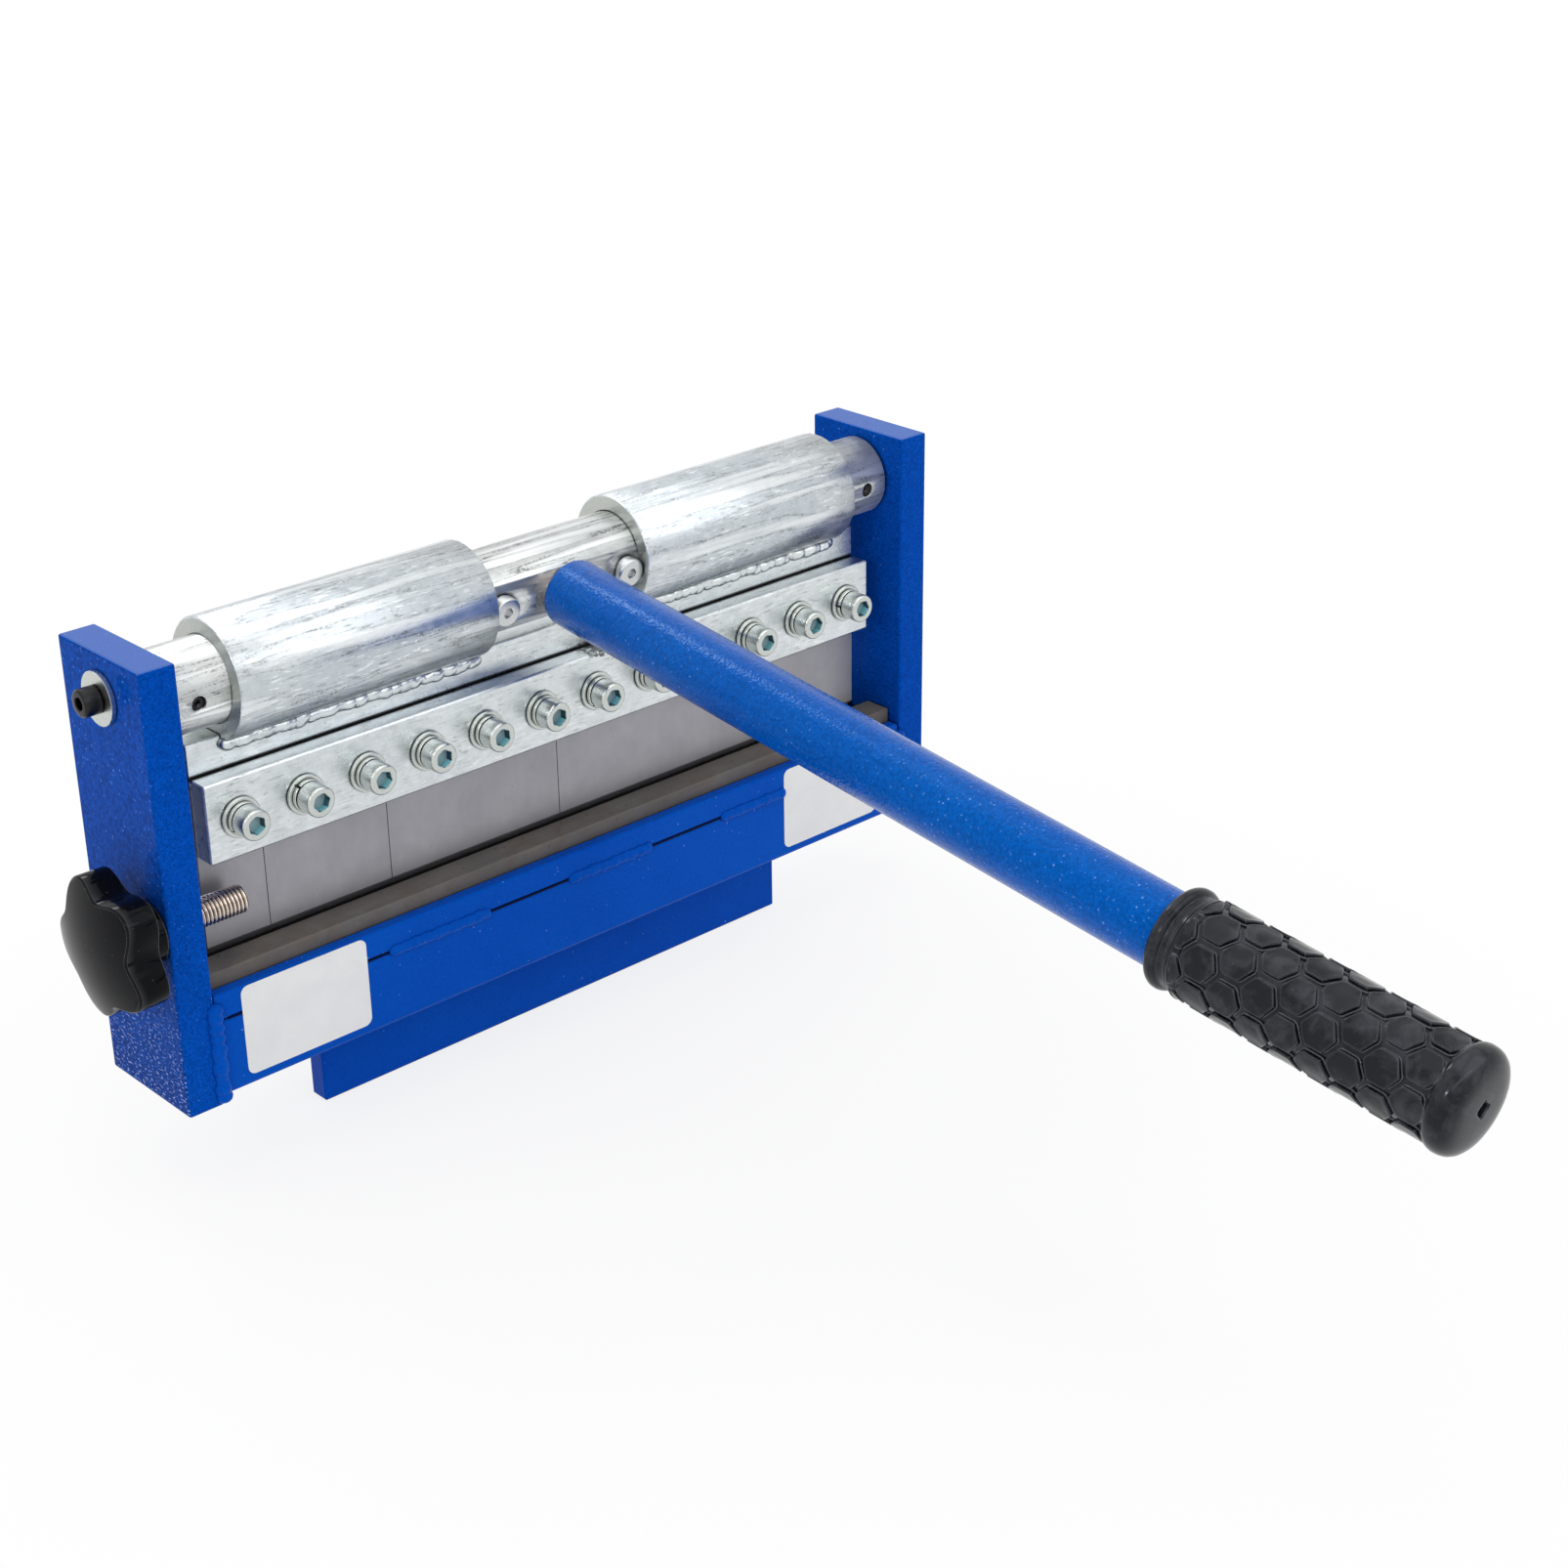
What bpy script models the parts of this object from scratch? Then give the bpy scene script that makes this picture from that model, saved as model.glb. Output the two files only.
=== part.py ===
"""A vise-mounted press brake for bending sheet metal.

Two side plates stand on a base bar that carries a V die, and a web under the
base bar is clamped in a bench vise. A lever turns an eccentric shaft in the
plates. Two sleeves hang on that shaft and carry the ram bar, to which twelve
screws clamp four punch segments. A star knob turns a stop stud in the left
plate. Metres, +Z up, the front is -Y, and the origin is the centre of the
web's front face, where the vise jaw grips.
"""

import math

import bmesh
import bpy
from mathutils import Matrix, Vector

MILLIMETRE = 0.001

# Fits.
SEAT_GAP = 0.0003
RUNNING_GAP = 0.0003
THREAD_GAP = 0.0003
SHAFT_END_GAP = 0.001
CUT_OVERRUN = 0.003
MERGE_DISTANCE = 0.000001

# Side plates.
PLATE_THICKNESS = 0.016
PLATE_DEPTH = 0.058
PLATE_EDGE = 0.001

# Web under the base bar, held by the vise.
WEB_LENGTH = 0.260
WEB_THICKNESS = 0.010
WEB_HEIGHT = 0.0387
WEB_EDGE = 0.0008

# Base bar with a rail along its front and back edge.
BASE_RISE = 0.0035
BASE_HEIGHT = 0.0332
BASE_EDGE = 0.0015
RAIL_SETBACK = 0.0005
RAIL_THICKNESS = 0.0063
RAIL_HEIGHT = 0.0115
RAIL_EDGE = 0.0012

# V die between the rails.
DIE_HEIGHT = 0.0175
DIE_EDGE = 0.0005
V_WIDTH = 0.016
THROAT_HEIGHT = 0.0435

# Eccentric shaft: its journal pins turn in the plates, off the shaft's axis.
PIVOT_DEPTH = 0.0176
ECCENTRICITY = 0.005
SHAFT_LEAD = math.radians(27.5)
SHAFT_DIAMETER = 0.036
SHAFT_EDGE = 0.0008
PIN_DIAMETER = 0.016
PIN_INSET = 0.030
PIN_EDGE = 0.0006
BUSHING_WALL = 0.0017
PIVOT_WASHER_DIAMETER = 0.022
PIVOT_WASHER_THICKNESS = 0.002
PIVOT_BOLT_DIAMETER = 0.006
PIVOT_BOLT_LENGTH = 0.020
PIVOT_HEAD_DIAMETER = 0.0114
PIVOT_HEAD_HEIGHT = 0.0072
PIVOT_HEAD_EDGE = 0.0009
PIVOT_SOCKET_WIDTH = 0.005
PIVOT_SOCKET_DEPTH = 0.0035

# Grub screws that lock the journal pins, on the shaft's front.
GRUB_DIAMETER = 0.006
GRUB_SETBACK = 0.0122
GRUB_SINK = 0.0008
GRUB_DROP = math.radians(3.5)
GRUB_SOCKET_WIDTH = 0.003
GRUB_SOCKET_DEPTH = 0.003

# Sleeves on the shaft and the low-head screws that keep them apart.
SLEEVE_DIAMETER = 0.050
SLEEVE_INSET = 0.016
SLEEVE_SPREAD = 0.080
SLEEVE_EDGE = 0.0008
KEEPER_DIAMETER = 0.008
KEEPER_LENGTH = 0.012
KEEPER_HEAD_DIAMETER = 0.013
KEEPER_HEAD_HEIGHT = 0.0048
KEEPER_HEAD_EDGE = 0.001
KEEPER_SPOT_DEPTH = 0.0016
KEEPER_DROP = math.radians(8)
KEEPER_SOCKET_WIDTH = 0.005
KEEPER_SOCKET_DEPTH = 0.002

# Lever: a stud in the shaft, a tube on the stud and a moulded grip.
LEVER_DROP = math.radians(6.75)
LEVER_STUD_DIAMETER = 0.018
LEVER_STUD_SINK = 0.024
LEVER_STUD_GRIP = 0.028
LEVER_STUD_EDGE = 0.001
TUBE_STANDOFF = 0.0023
TUBE_DIAMETER = 0.0295
TUBE_WALL = 0.003
TUBE_LENGTH = 0.4497
TUBE_NOSE_RADIUS = 0.0025
TUBE_PLUG_LENGTH = 0.030
GRIP_LENGTH = 0.1255
GRIP_WALL = 0.002
GRIP_END_WALL = 0.0057
GRIP_COLLAR_WIDTH = 0.005
GRIP_COLLAR_HEIGHT = 0.0023
GRIP_NECK_LENGTH = 0.0042
GRIP_BEAD_WIDTH = 0.0042
GRIP_BEAD_HEIGHT = 0.0013
GRIP_FLANGE_WIDTH = 0.0075
GRIP_FLANGE_HEIGHT = 0.0028
GRIP_DOME_HEIGHT = 0.0022
GRIP_VENT_WIDTH = 0.003
PAD_HEIGHT = 0.0019
PAD_ROW_PITCH = 0.0125
PAD_GROOVE = 0.0017
PAD_START = 0.0218
PADS_AROUND = 8

# Ram bar under the sleeves.
WORK_LENGTH = 0.360
RAM_END_GAP = 0.0115
RAM_THICKNESS = 0.024
RAM_FACE_HEIGHT = 0.0142
RAM_EDGE = 0.0006
SADDLE_DEPTH = 0.0032

# Punch segments, as counts of screw pitches from the left.
PUNCH_THICKNESS = 0.012
TIP_RISE = 0.0056
SEGMENT_PITCHES = (1, 2, 3, 6)
SLOT_GAP = 0.0005

# Clamp bar and its screws.
CLAMP_THICKNESS = 0.010
CLAMP_HEIGHT = 0.034
CLAMP_LAP = 0.004
CLAMP_EDGE = 0.0008
SCREW_COUNT = 12
SCREW_DIAMETER = 0.008
SCREW_LENGTH = 0.035
SCREW_EDGE = 0.0008
SCREW_HEAD_DIAMETER = 0.013
SCREW_HEAD_HEIGHT = 0.008
SCREW_SOCKET_WIDTH = 0.006
SCREW_SOCKET_DEPTH = 0.004
FLAT_WASHER_DIAMETER = 0.017
FLAT_WASHER_THICKNESS = 0.0016
SPRING_WASHER_DIAMETER = 0.014
SPRING_WASHER_THICKNESS = 0.0021

# Stop stud and its star knob on the left plate.
STOP_CLEARANCE = 0.0005
STOP_HEIGHT_SHARE = 0.586
STOP_DIAMETER = 0.012
STOP_REACH = 0.0245
STOP_SINK = 0.016
STOP_EDGE = 0.001
KNOB_DIAMETER = 0.060
KNOB_VALLEY = 0.007
KNOB_HUB_DIAMETER = 0.025
KNOB_HUB_LENGTH = 0.010
KNOB_RIM_THICKNESS = 0.013
KNOB_DOME_HEIGHT = 0.005
KNOB_EDGE = 0.0012
KNOB_LEAD = math.radians(-25)
KNOB_LOBES = 5
LOBE_FULLNESS = 1.1

# Facets of the round pieces.
LARGE_SIDES = 36
GRIP_SIDES = 16
MEDIUM_SIDES = 24
SCREW_SIDES = 16
HOLE_SIDES = 12
LOBE_SIDES = 8
DOME_SHARES = (1, 0.85, 0.6, 0.3)
SMOOTH_ANGLE = math.radians(35)
BEVEL_ANGLE = math.radians(30)
EDGE_STEPS = 2

# Places that follow from the sizes.
MID_Y = WEB_THICKNESS / 2
PLATE_FRONT_Y = MID_Y - PLATE_DEPTH / 2
INNER_X = WORK_LENGTH / 2 + RAM_END_GAP
OUTER_X = INNER_X + PLATE_THICKNESS
BASE_Z = WEB_HEIGHT / 2 + SEAT_GAP
FOOT_Z = BASE_Z - BASE_RISE
BASE_TOP_Z = BASE_Z + BASE_HEIGHT
BED_Z = BASE_TOP_Z + SEAT_GAP
DIE_TOP_Z = BED_Z + DIE_HEIGHT
BED_LENGTH = 2 * (INNER_X - SEAT_GAP)
RAIL_FRONT_Y = PLATE_FRONT_Y + RAIL_SETBACK
BED_DEPTH = PLATE_DEPTH - 2 * RAIL_SETBACK
DIE_DEPTH = BED_DEPTH - 2 * (RAIL_THICKNESS + SEAT_GAP)
V_DEPTH = V_WIDTH / 2

SLEEVE_RADIUS = SLEEVE_DIAMETER / 2
CLAMP_FOOT_Z = DIE_TOP_Z + THROAT_HEIGHT
CLAMP_TOP_Z = CLAMP_FOOT_Z + CLAMP_HEIGHT
RAM_TOP_Z = CLAMP_TOP_Z + RAM_FACE_HEIGHT
SHAFT_Y = MID_Y - ECCENTRICITY * math.sin(SHAFT_LEAD)
SHAFT_Z = RAM_TOP_Z + SLEEVE_RADIUS - SADDLE_DEPTH
PIVOT_Z = SHAFT_Z + ECCENTRICITY * math.cos(SHAFT_LEAD)
PLATE_HEIGHT = PIVOT_Z + PIVOT_DEPTH - FOOT_Z
SHAFT_RADIUS = SHAFT_DIAMETER / 2
SHAFT_HALF_LENGTH = INNER_X - SHAFT_END_GAP
PIN_BORE_RADIUS = PIN_DIAMETER / 2 + RUNNING_GAP
PIN_INNER_X = SHAFT_HALF_LENGTH - PIN_INSET
BUSHING_RADIUS = PIN_BORE_RADIUS + BUSHING_WALL
SLEEVE_LENGTH = (WORK_LENGTH - SLEEVE_SPREAD) / 2 - SLEEVE_INSET
SLEEVE_MID_X = (SLEEVE_SPREAD + SLEEVE_LENGTH) / 2
KEEPER_X = SLEEVE_SPREAD / 2 - KEEPER_HEAD_DIAMETER / 2 - SEAT_GAP
GRUB_X = SHAFT_HALF_LENGTH - GRUB_SETBACK

RAM_FRONT_Y = SHAFT_Y - PUNCH_THICKNESS / 2
SHOULDER_Z = CLAMP_TOP_Z - CLAMP_LAP
PUNCH_TOP_Z = SHOULDER_Z - SEAT_GAP
TIP_Z = DIE_TOP_Z - V_DEPTH + TIP_RISE
SCREW_Z = (CLAMP_TOP_Z + CLAMP_FOOT_Z) / 2
SCREW_PITCH = WORK_LENGTH / SCREW_COUNT
CLAMP_BACK_Y = RAM_FRONT_Y - SEAT_GAP
CLAMP_FRONT_Y = CLAMP_BACK_Y - CLAMP_THICKNESS
STACK_THICKNESS = FLAT_WASHER_THICKNESS + SPRING_WASHER_THICKNESS
STACK_BACK_Y = CLAMP_FRONT_Y - SEAT_GAP
HEAD_BACK_Y = STACK_BACK_Y - STACK_THICKNESS - SEAT_GAP

TUBE_START = SHAFT_RADIUS + TUBE_STANDOFF
TUBE_END = TUBE_START + TUBE_LENGTH
TUBE_RADIUS = TUBE_DIAMETER / 2
GRIP_END = TUBE_END + SEAT_GAP + GRIP_END_WALL
GRIP_START = GRIP_END - GRIP_LENGTH
GRIP_BORE_RADIUS = TUBE_RADIUS + SEAT_GAP
GRIP_RADIUS = GRIP_BORE_RADIUS + GRIP_WALL
BEAD_START = GRIP_START + GRIP_COLLAR_WIDTH + GRIP_NECK_LENGTH
FLANGE_END = GRIP_END - GRIP_DOME_HEIGHT
FLANGE_START = FLANGE_END - GRIP_FLANGE_WIDTH

STOP_RADIUS = STOP_DIAMETER / 2
STOP_Y = MID_Y - ECCENTRICITY - PUNCH_THICKNESS / 2 - STOP_CLEARANCE - STOP_RADIUS
STOP_Z = DIE_TOP_Z + STOP_HEIGHT_SHARE * THROAT_HEIGHT
KNOB_SEAT_X = OUTER_X + SEAT_GAP

# Directions in which a turned piece's own Z axis can point.
TO_LEFT = (0, -math.pi / 2, 0)
TO_RIGHT = (0, math.pi / 2, 0)
TO_FRONT = (math.pi / 2, 0, 0)


def clear_scene():
    """Take away what the startup scene holds."""
    for obj in list(bpy.data.objects):
        bpy.data.objects.remove(obj)


def finish(name, colour, roughness, metallic):
    """A Principled material."""
    made = bpy.data.materials.new(name)
    made.use_nodes = True
    shader = made.node_tree.nodes["Principled BSDF"]
    shader.inputs["Base Color"].default_value = (*colour, 1)
    shader.inputs["Roughness"].default_value = roughness
    shader.inputs["Metallic"].default_value = metallic
    made.diffuse_color = (*colour, 1)
    return made


def world_place(obj):
    """Where an unrotated empty stands, through its parents."""
    place = Vector(obj.location)
    if obj.parent:
        place += world_place(obj.parent)
    return place


def axis_empty(name, at, carrier=None):
    """An empty on a joint's axis, which carries the pieces that turn there."""
    empty = bpy.data.objects.new(name, None)
    bpy.context.scene.collection.objects.link(empty)
    empty.location = at
    if carrier:
        empty.location = Vector(at) - world_place(carrier)
        empty.parent = carrier
    return empty


def mesh_from(name, bm, material=None):
    """The finished mesh of a bmesh, with round faces shaded smooth."""
    bmesh.ops.recalc_face_normals(bm, faces=bm.faces)
    mesh = bpy.data.meshes.new(name)
    bm.to_mesh(mesh)
    bm.free()
    mesh.shade_smooth()
    mesh.set_sharp_from_angle(angle=SMOOTH_ANGLE)
    if material:
        mesh.materials.append(material)
    return mesh


def place(name, mesh, at, turn=(0, 0, 0), carrier=None):
    """An object for a mesh at a place in the world, under the empty that carries it."""
    obj = bpy.data.objects.new(name, mesh)
    bpy.context.scene.collection.objects.link(obj)
    obj.location = at
    obj.rotation_euler = turn
    if carrier:
        obj.location = Vector(at) - world_place(carrier)
        obj.parent = carrier
    return obj


def combine(obj, tool, operation):
    """Cut with a tool, add it, or keep what both share."""
    tool.hide_render = True
    tool.display_type = "WIRE"
    modifier = obj.modifiers.new(tool.name, "BOOLEAN")
    modifier.operation = operation
    modifier.solver = "EXACT"
    modifier.object = tool


def ease_edges(obj, width, steps=1):
    """Chamfer or round the sharp edges."""
    modifier = obj.modifiers.new("edges", "BEVEL")
    modifier.width = width
    modifier.segments = steps
    modifier.limit_method = "ANGLE"
    modifier.angle_limit = BEVEL_ANGLE


def settled_mesh(obj, tools):
    """The mesh that an object's modifiers give, for pieces that share it."""
    bpy.context.view_layer.update()
    graph = bpy.context.evaluated_depsgraph_get()
    mesh = bpy.data.meshes.new_from_object(obj.evaluated_get(graph))
    mesh.name = obj.name
    for spent in (obj, *tools):
        bpy.data.objects.remove(spent)
    return mesh


def block_mesh(name, size, material=None):
    """A box around its own origin."""
    bm = bmesh.new()
    bmesh.ops.create_cube(bm, size=1, matrix=Matrix.Diagonal((*size, 1)))
    return mesh_from(name, bm, material)


def bar_mesh(name, outline, length, material=None):
    """A bar along X, centred, whose section is an outline of (y, z) points."""
    bm = bmesh.new()
    section = bm.faces.new([bm.verts.new((-length / 2, y, z)) for y, z in outline])
    swept = bmesh.ops.extrude_face_region(bm, geom=[section])
    moved = [item for item in swept["geom"] if isinstance(item, bmesh.types.BMVert)]
    bmesh.ops.translate(bm, verts=moved, vec=(length, 0, 0))
    return mesh_from(name, bm, material)


def turned_mesh(name, profile, sides, material=None):
    """A body turned about Z from (radius, height) points. Without a bore it ends on the axis."""
    bm = bmesh.new()
    points = [bm.verts.new((radius, 0, height)) for radius, height in profile]
    pairs = list(zip(points, points[1:]))
    if profile[0][0]:
        pairs.append((points[-1], points[0]))
    edges = [bm.edges.new(pair) for pair in pairs]
    bmesh.ops.spin(
        bm,
        geom=points + edges,
        axis=(0, 0, 1),
        cent=(0, 0, 0),
        angle=math.tau,
        steps=sides,
        use_merge=True,
    )
    bmesh.ops.remove_doubles(bm, verts=bm.verts, dist=MERGE_DISTANCE)
    return mesh_from(name, bm, material)


def round_cutter(name, radius, ends, sides=HOLE_SIDES, carrier=None):
    """Cylinders from one point to another, as one tool."""
    bm = bmesh.new()
    for start, end in ends:
        along = Vector(end) - Vector(start)
        turn = along.to_track_quat("Z", "Y").to_matrix().to_4x4()
        middle = Matrix.Translation((Vector(start) + Vector(end)) / 2)
        bmesh.ops.create_cone(
            bm,
            cap_ends=True,
            segments=sides,
            radius1=radius,
            radius2=radius,
            depth=along.length,
            matrix=middle @ turn,
        )
    return place(name, mesh_from(name, bm), (0, 0, 0), carrier=carrier)


def hex_cutter(name, width, depth, at, turn=(0, 0, 0), carrier=None):
    """A hexagon socket's prism that runs out of the face it starts from, along its own Z."""
    bm = bmesh.new()
    corner = width / math.sqrt(3)
    bmesh.ops.create_cone(
        bm,
        cap_ends=True,
        segments=6,
        radius1=corner,
        radius2=corner,
        depth=depth + CUT_OVERRUN,
        matrix=Matrix.Translation((0, 0, (CUT_OVERRUN - depth) / 2)),
    )
    return place(name, mesh_from(name, bm), at, turn, carrier)


def stud_profile(radius, start, end, edge):
    """A plain stud with both ends chamfered."""
    return (
        (0, start),
        (radius - edge, start),
        (radius, start + edge),
        (radius, end - edge),
        (radius - edge, end),
        (0, end),
    )


def bolt_profile(radius, length, head_radius, head_height, edge):
    """A bolt whose shank hangs below 0, with a chamfered head above."""
    return (
        (0, -length),
        (radius, -length),
        (radius, 0),
        (head_radius, 0),
        (head_radius, head_height - edge),
        (head_radius - edge, head_height),
        (0, head_height),
    )


def ring_profile(bore_radius, radius, start, end, edge=0):
    """A ring, with its outer edges chamfered if an edge is given."""
    if not edge:
        return (
            (bore_radius, start),
            (radius, start),
            (radius, end),
            (bore_radius, end),
        )
    return (
        (bore_radius, start),
        (radius - edge, start),
        (radius, start + edge),
        (radius, end - edge),
        (radius - edge, end),
        (bore_radius, end),
    )


def shaft_point(x, drop, distance):
    """A point beside the shaft, this far from its axis, on a ray that drops below the front."""
    return Vector(
        (
            x,
            SHAFT_Y - distance * math.cos(drop),
            SHAFT_Z - distance * math.sin(drop),
        )
    )


def toward(drop):
    """The rotation that points a turned piece away from the shaft, below the front."""
    return (math.pi / 2 + drop, 0, 0)


def make_side_plates(blue):
    """The two plates, bored for the bushings, the left one also for the stop stud."""
    size = (PLATE_THICKNESS, PLATE_DEPTH, PLATE_HEIGHT)
    for side, sign in (("left", -1), ("right", 1)):
        mid = (sign * (OUTER_X + INNER_X) / 2, MID_Y, FOOT_Z + PLATE_HEIGHT / 2)
        plate = place(f"{side}_side_plate", block_mesh("side_plate", size, blue), mid)
        ease_edges(plate, PLATE_EDGE, EDGE_STEPS)
        inside = sign * (INNER_X - CUT_OVERRUN)
        outside = sign * (OUTER_X + CUT_OVERRUN)
        bore = round_cutter(
            f"{side}_bushing_bore",
            BUSHING_RADIUS + SEAT_GAP,
            [((inside, MID_Y, PIVOT_Z), (outside, MID_Y, PIVOT_Z))],
            MEDIUM_SIDES,
        )
        combine(plate, bore, "DIFFERENCE")
        if side == "left":
            hole = round_cutter(
                "stop_stud_hole",
                STOP_RADIUS + THREAD_GAP,
                [((inside, STOP_Y, STOP_Z), (outside, STOP_Y, STOP_Z))],
                SCREW_SIDES,
            )
            combine(plate, hole, "DIFFERENCE")


def make_bushings(bronze):
    """Plain bushings that line the plates' bores."""
    profile = ring_profile(PIN_BORE_RADIUS, BUSHING_RADIUS, 0, PLATE_THICKNESS)
    mesh = turned_mesh("bushing", profile, MEDIUM_SIDES, bronze)
    place("left_bushing", mesh, (-INNER_X, MID_Y, PIVOT_Z), TO_LEFT)
    place("right_bushing", mesh, (INNER_X, MID_Y, PIVOT_Z), TO_RIGHT)


def make_bed(blue):
    """The base bar with its two rails, and the web under it."""
    base_size = (BED_LENGTH, BED_DEPTH, BASE_HEIGHT)
    base_mid = (0, MID_Y, (BASE_Z + BASE_TOP_Z) / 2)
    base = place("base_bar", block_mesh("base_bar", base_size, blue), base_mid)
    ease_edges(base, BASE_EDGE, EDGE_STEPS)
    rail_size = (BED_LENGTH, RAIL_THICKNESS, RAIL_HEIGHT)
    rail_z = BED_Z + RAIL_HEIGHT / 2
    reach = (BED_DEPTH - RAIL_THICKNESS) / 2
    for side, sign in (("front", -1), ("back", 1)):
        mesh = block_mesh("rail", rail_size, blue)
        rail = place(f"{side}_rail", mesh, (0, MID_Y + sign * reach, rail_z))
        ease_edges(rail, RAIL_EDGE, EDGE_STEPS)
    web_size = (WEB_LENGTH, WEB_THICKNESS, WEB_HEIGHT)
    web = place("vise_web", block_mesh("vise_web", web_size, blue), (0, MID_Y, 0))
    ease_edges(web, WEB_EDGE)


def make_die(steel):
    """The lower tool: a bar with a right-angled V along its top."""
    half = DIE_DEPTH / 2
    outline = (
        (-half, 0),
        (half, 0),
        (half, DIE_HEIGHT),
        (V_DEPTH, DIE_HEIGHT),
        (0, DIE_HEIGHT - V_DEPTH),
        (-V_DEPTH, DIE_HEIGHT),
        (-half, DIE_HEIGHT),
    )
    die = place(
        "v_die", bar_mesh("v_die", outline, BED_LENGTH, steel), (0, MID_Y, BED_Z)
    )
    ease_edges(die, DIE_EDGE)


def make_shaft(zinc, lever):
    """The shaft, with eccentric bores for the pins and holes along its front."""
    profile = stud_profile(
        SHAFT_RADIUS, -SHAFT_HALF_LENGTH, SHAFT_HALF_LENGTH, SHAFT_EDGE
    )
    mesh = turned_mesh("eccentric_shaft", profile, LARGE_SIDES, zinc)
    shaft = place("eccentric_shaft", mesh, (0, SHAFT_Y, SHAFT_Z), TO_RIGHT, lever)
    bore_depth = PIN_INNER_X - SEAT_GAP
    bore_mouth = SHAFT_HALF_LENGTH + CUT_OVERRUN
    for name, sign in (("left", -1), ("right", 1)):
        bore = round_cutter(
            f"{name}_eccentric_bore",
            PIN_BORE_RADIUS,
            [
                (
                    (sign * bore_depth, MID_Y, PIVOT_Z),
                    (sign * bore_mouth, MID_Y, PIVOT_Z),
                )
            ],
            MEDIUM_SIDES,
            lever,
        )
        combine(shaft, bore, "DIFFERENCE")
    outside = SHAFT_RADIUS + CUT_OVERRUN
    grub_holes = round_cutter(
        "grub_holes",
        GRUB_DIAMETER / 2 + THREAD_GAP,
        [
            (
                shaft_point(sign * GRUB_X, GRUB_DROP, 0),
                shaft_point(sign * GRUB_X, GRUB_DROP, outside),
            )
            for sign in (-1, 1)
        ],
        HOLE_SIDES,
        lever,
    )
    combine(shaft, grub_holes, "DIFFERENCE")
    keeper_floor = SHAFT_RADIUS - KEEPER_SPOT_DEPTH - KEEPER_LENGTH - SEAT_GAP
    keeper_holes = round_cutter(
        "keeper_holes",
        KEEPER_DIAMETER / 2 + THREAD_GAP,
        [
            (
                shaft_point(sign * KEEPER_X, KEEPER_DROP, keeper_floor),
                shaft_point(sign * KEEPER_X, KEEPER_DROP, outside),
            )
            for sign in (-1, 1)
        ],
        HOLE_SIDES,
        lever,
    )
    combine(shaft, keeper_holes, "DIFFERENCE")
    keeper_spots = round_cutter(
        "keeper_spots",
        KEEPER_HEAD_DIAMETER / 2 + SEAT_GAP,
        [
            (
                shaft_point(sign * KEEPER_X, KEEPER_DROP, SHAFT_RADIUS - KEEPER_SPOT_DEPTH),
                shaft_point(sign * KEEPER_X, KEEPER_DROP, outside),
            )
            for sign in (-1, 1)
        ],
        SCREW_SIDES,
        lever,
    )
    combine(shaft, keeper_spots, "DIFFERENCE")
    lever_hole = round_cutter(
        "lever_hole",
        LEVER_STUD_DIAMETER / 2 + THREAD_GAP,
        [
            (
                shaft_point(0, LEVER_DROP, SHAFT_RADIUS - LEVER_STUD_SINK - SEAT_GAP),
                shaft_point(0, LEVER_DROP, outside),
            )
        ],
        MEDIUM_SIDES,
        lever,
    )
    combine(shaft, lever_hole, "DIFFERENCE")


def make_pivots(steel, zinc, black, lever):
    """Journal pins in the shaft's eccentric bores, with a washer and a bolt outside each plate."""
    pin_length = OUTER_X - PIN_INNER_X
    thread_radius = PIVOT_BOLT_DIAMETER / 2 + THREAD_GAP
    reach = PIVOT_BOLT_LENGTH - PIVOT_WASHER_THICKNESS
    pin_profile = (
        (0, 0),
        (PIN_DIAMETER / 2 - PIN_EDGE, 0),
        (PIN_DIAMETER / 2, PIN_EDGE),
        (PIN_DIAMETER / 2, pin_length),
        (thread_radius, pin_length),
        (thread_radius, pin_length - reach),
        (0, pin_length - reach),
    )
    pin = turned_mesh("journal_pin", pin_profile, SCREW_SIDES, steel)
    washer_profile = ring_profile(
        thread_radius, PIVOT_WASHER_DIAMETER / 2, 0, PIVOT_WASHER_THICKNESS
    )
    washer = turned_mesh("pivot_washer", washer_profile, MEDIUM_SIDES, zinc)
    bolt = socket_bolt_mesh(
        "pivot_bolt",
        bolt_profile(
            PIVOT_BOLT_DIAMETER / 2,
            PIVOT_BOLT_LENGTH,
            PIVOT_HEAD_DIAMETER / 2,
            PIVOT_HEAD_HEIGHT,
            PIVOT_HEAD_EDGE,
        ),
        PIVOT_HEAD_HEIGHT,
        PIVOT_SOCKET_WIDTH,
        PIVOT_SOCKET_DEPTH,
        black,
    )
    washer_x = OUTER_X + SEAT_GAP
    bolt_x = washer_x + PIVOT_WASHER_THICKNESS + SEAT_GAP
    for side, sign, turn in (("left", -1, TO_LEFT), ("right", 1, TO_RIGHT)):
        place(f"{side}_journal_pin", pin, (sign * PIN_INNER_X, MID_Y, PIVOT_Z), turn, lever)
        washer_at = (sign * washer_x, MID_Y, PIVOT_Z)
        place(f"{side}_pivot_washer", washer, washer_at, turn, lever)
        place(f"{side}_pivot_bolt", bolt, (sign * bolt_x, MID_Y, PIVOT_Z), turn, lever)


def socket_bolt_mesh(name, profile, top, socket_width, socket_depth, material):
    """A turned bolt with a hexagon socket in the top of its head, as one shared mesh."""
    bolt = place(name, turned_mesh(name, profile, SCREW_SIDES, material), (0, 0, 0))
    socket = hex_cutter(f"{name}_socket", socket_width, socket_depth, (0, 0, top))
    combine(bolt, socket, "DIFFERENCE")
    return settled_mesh(bolt, [socket])


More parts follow.
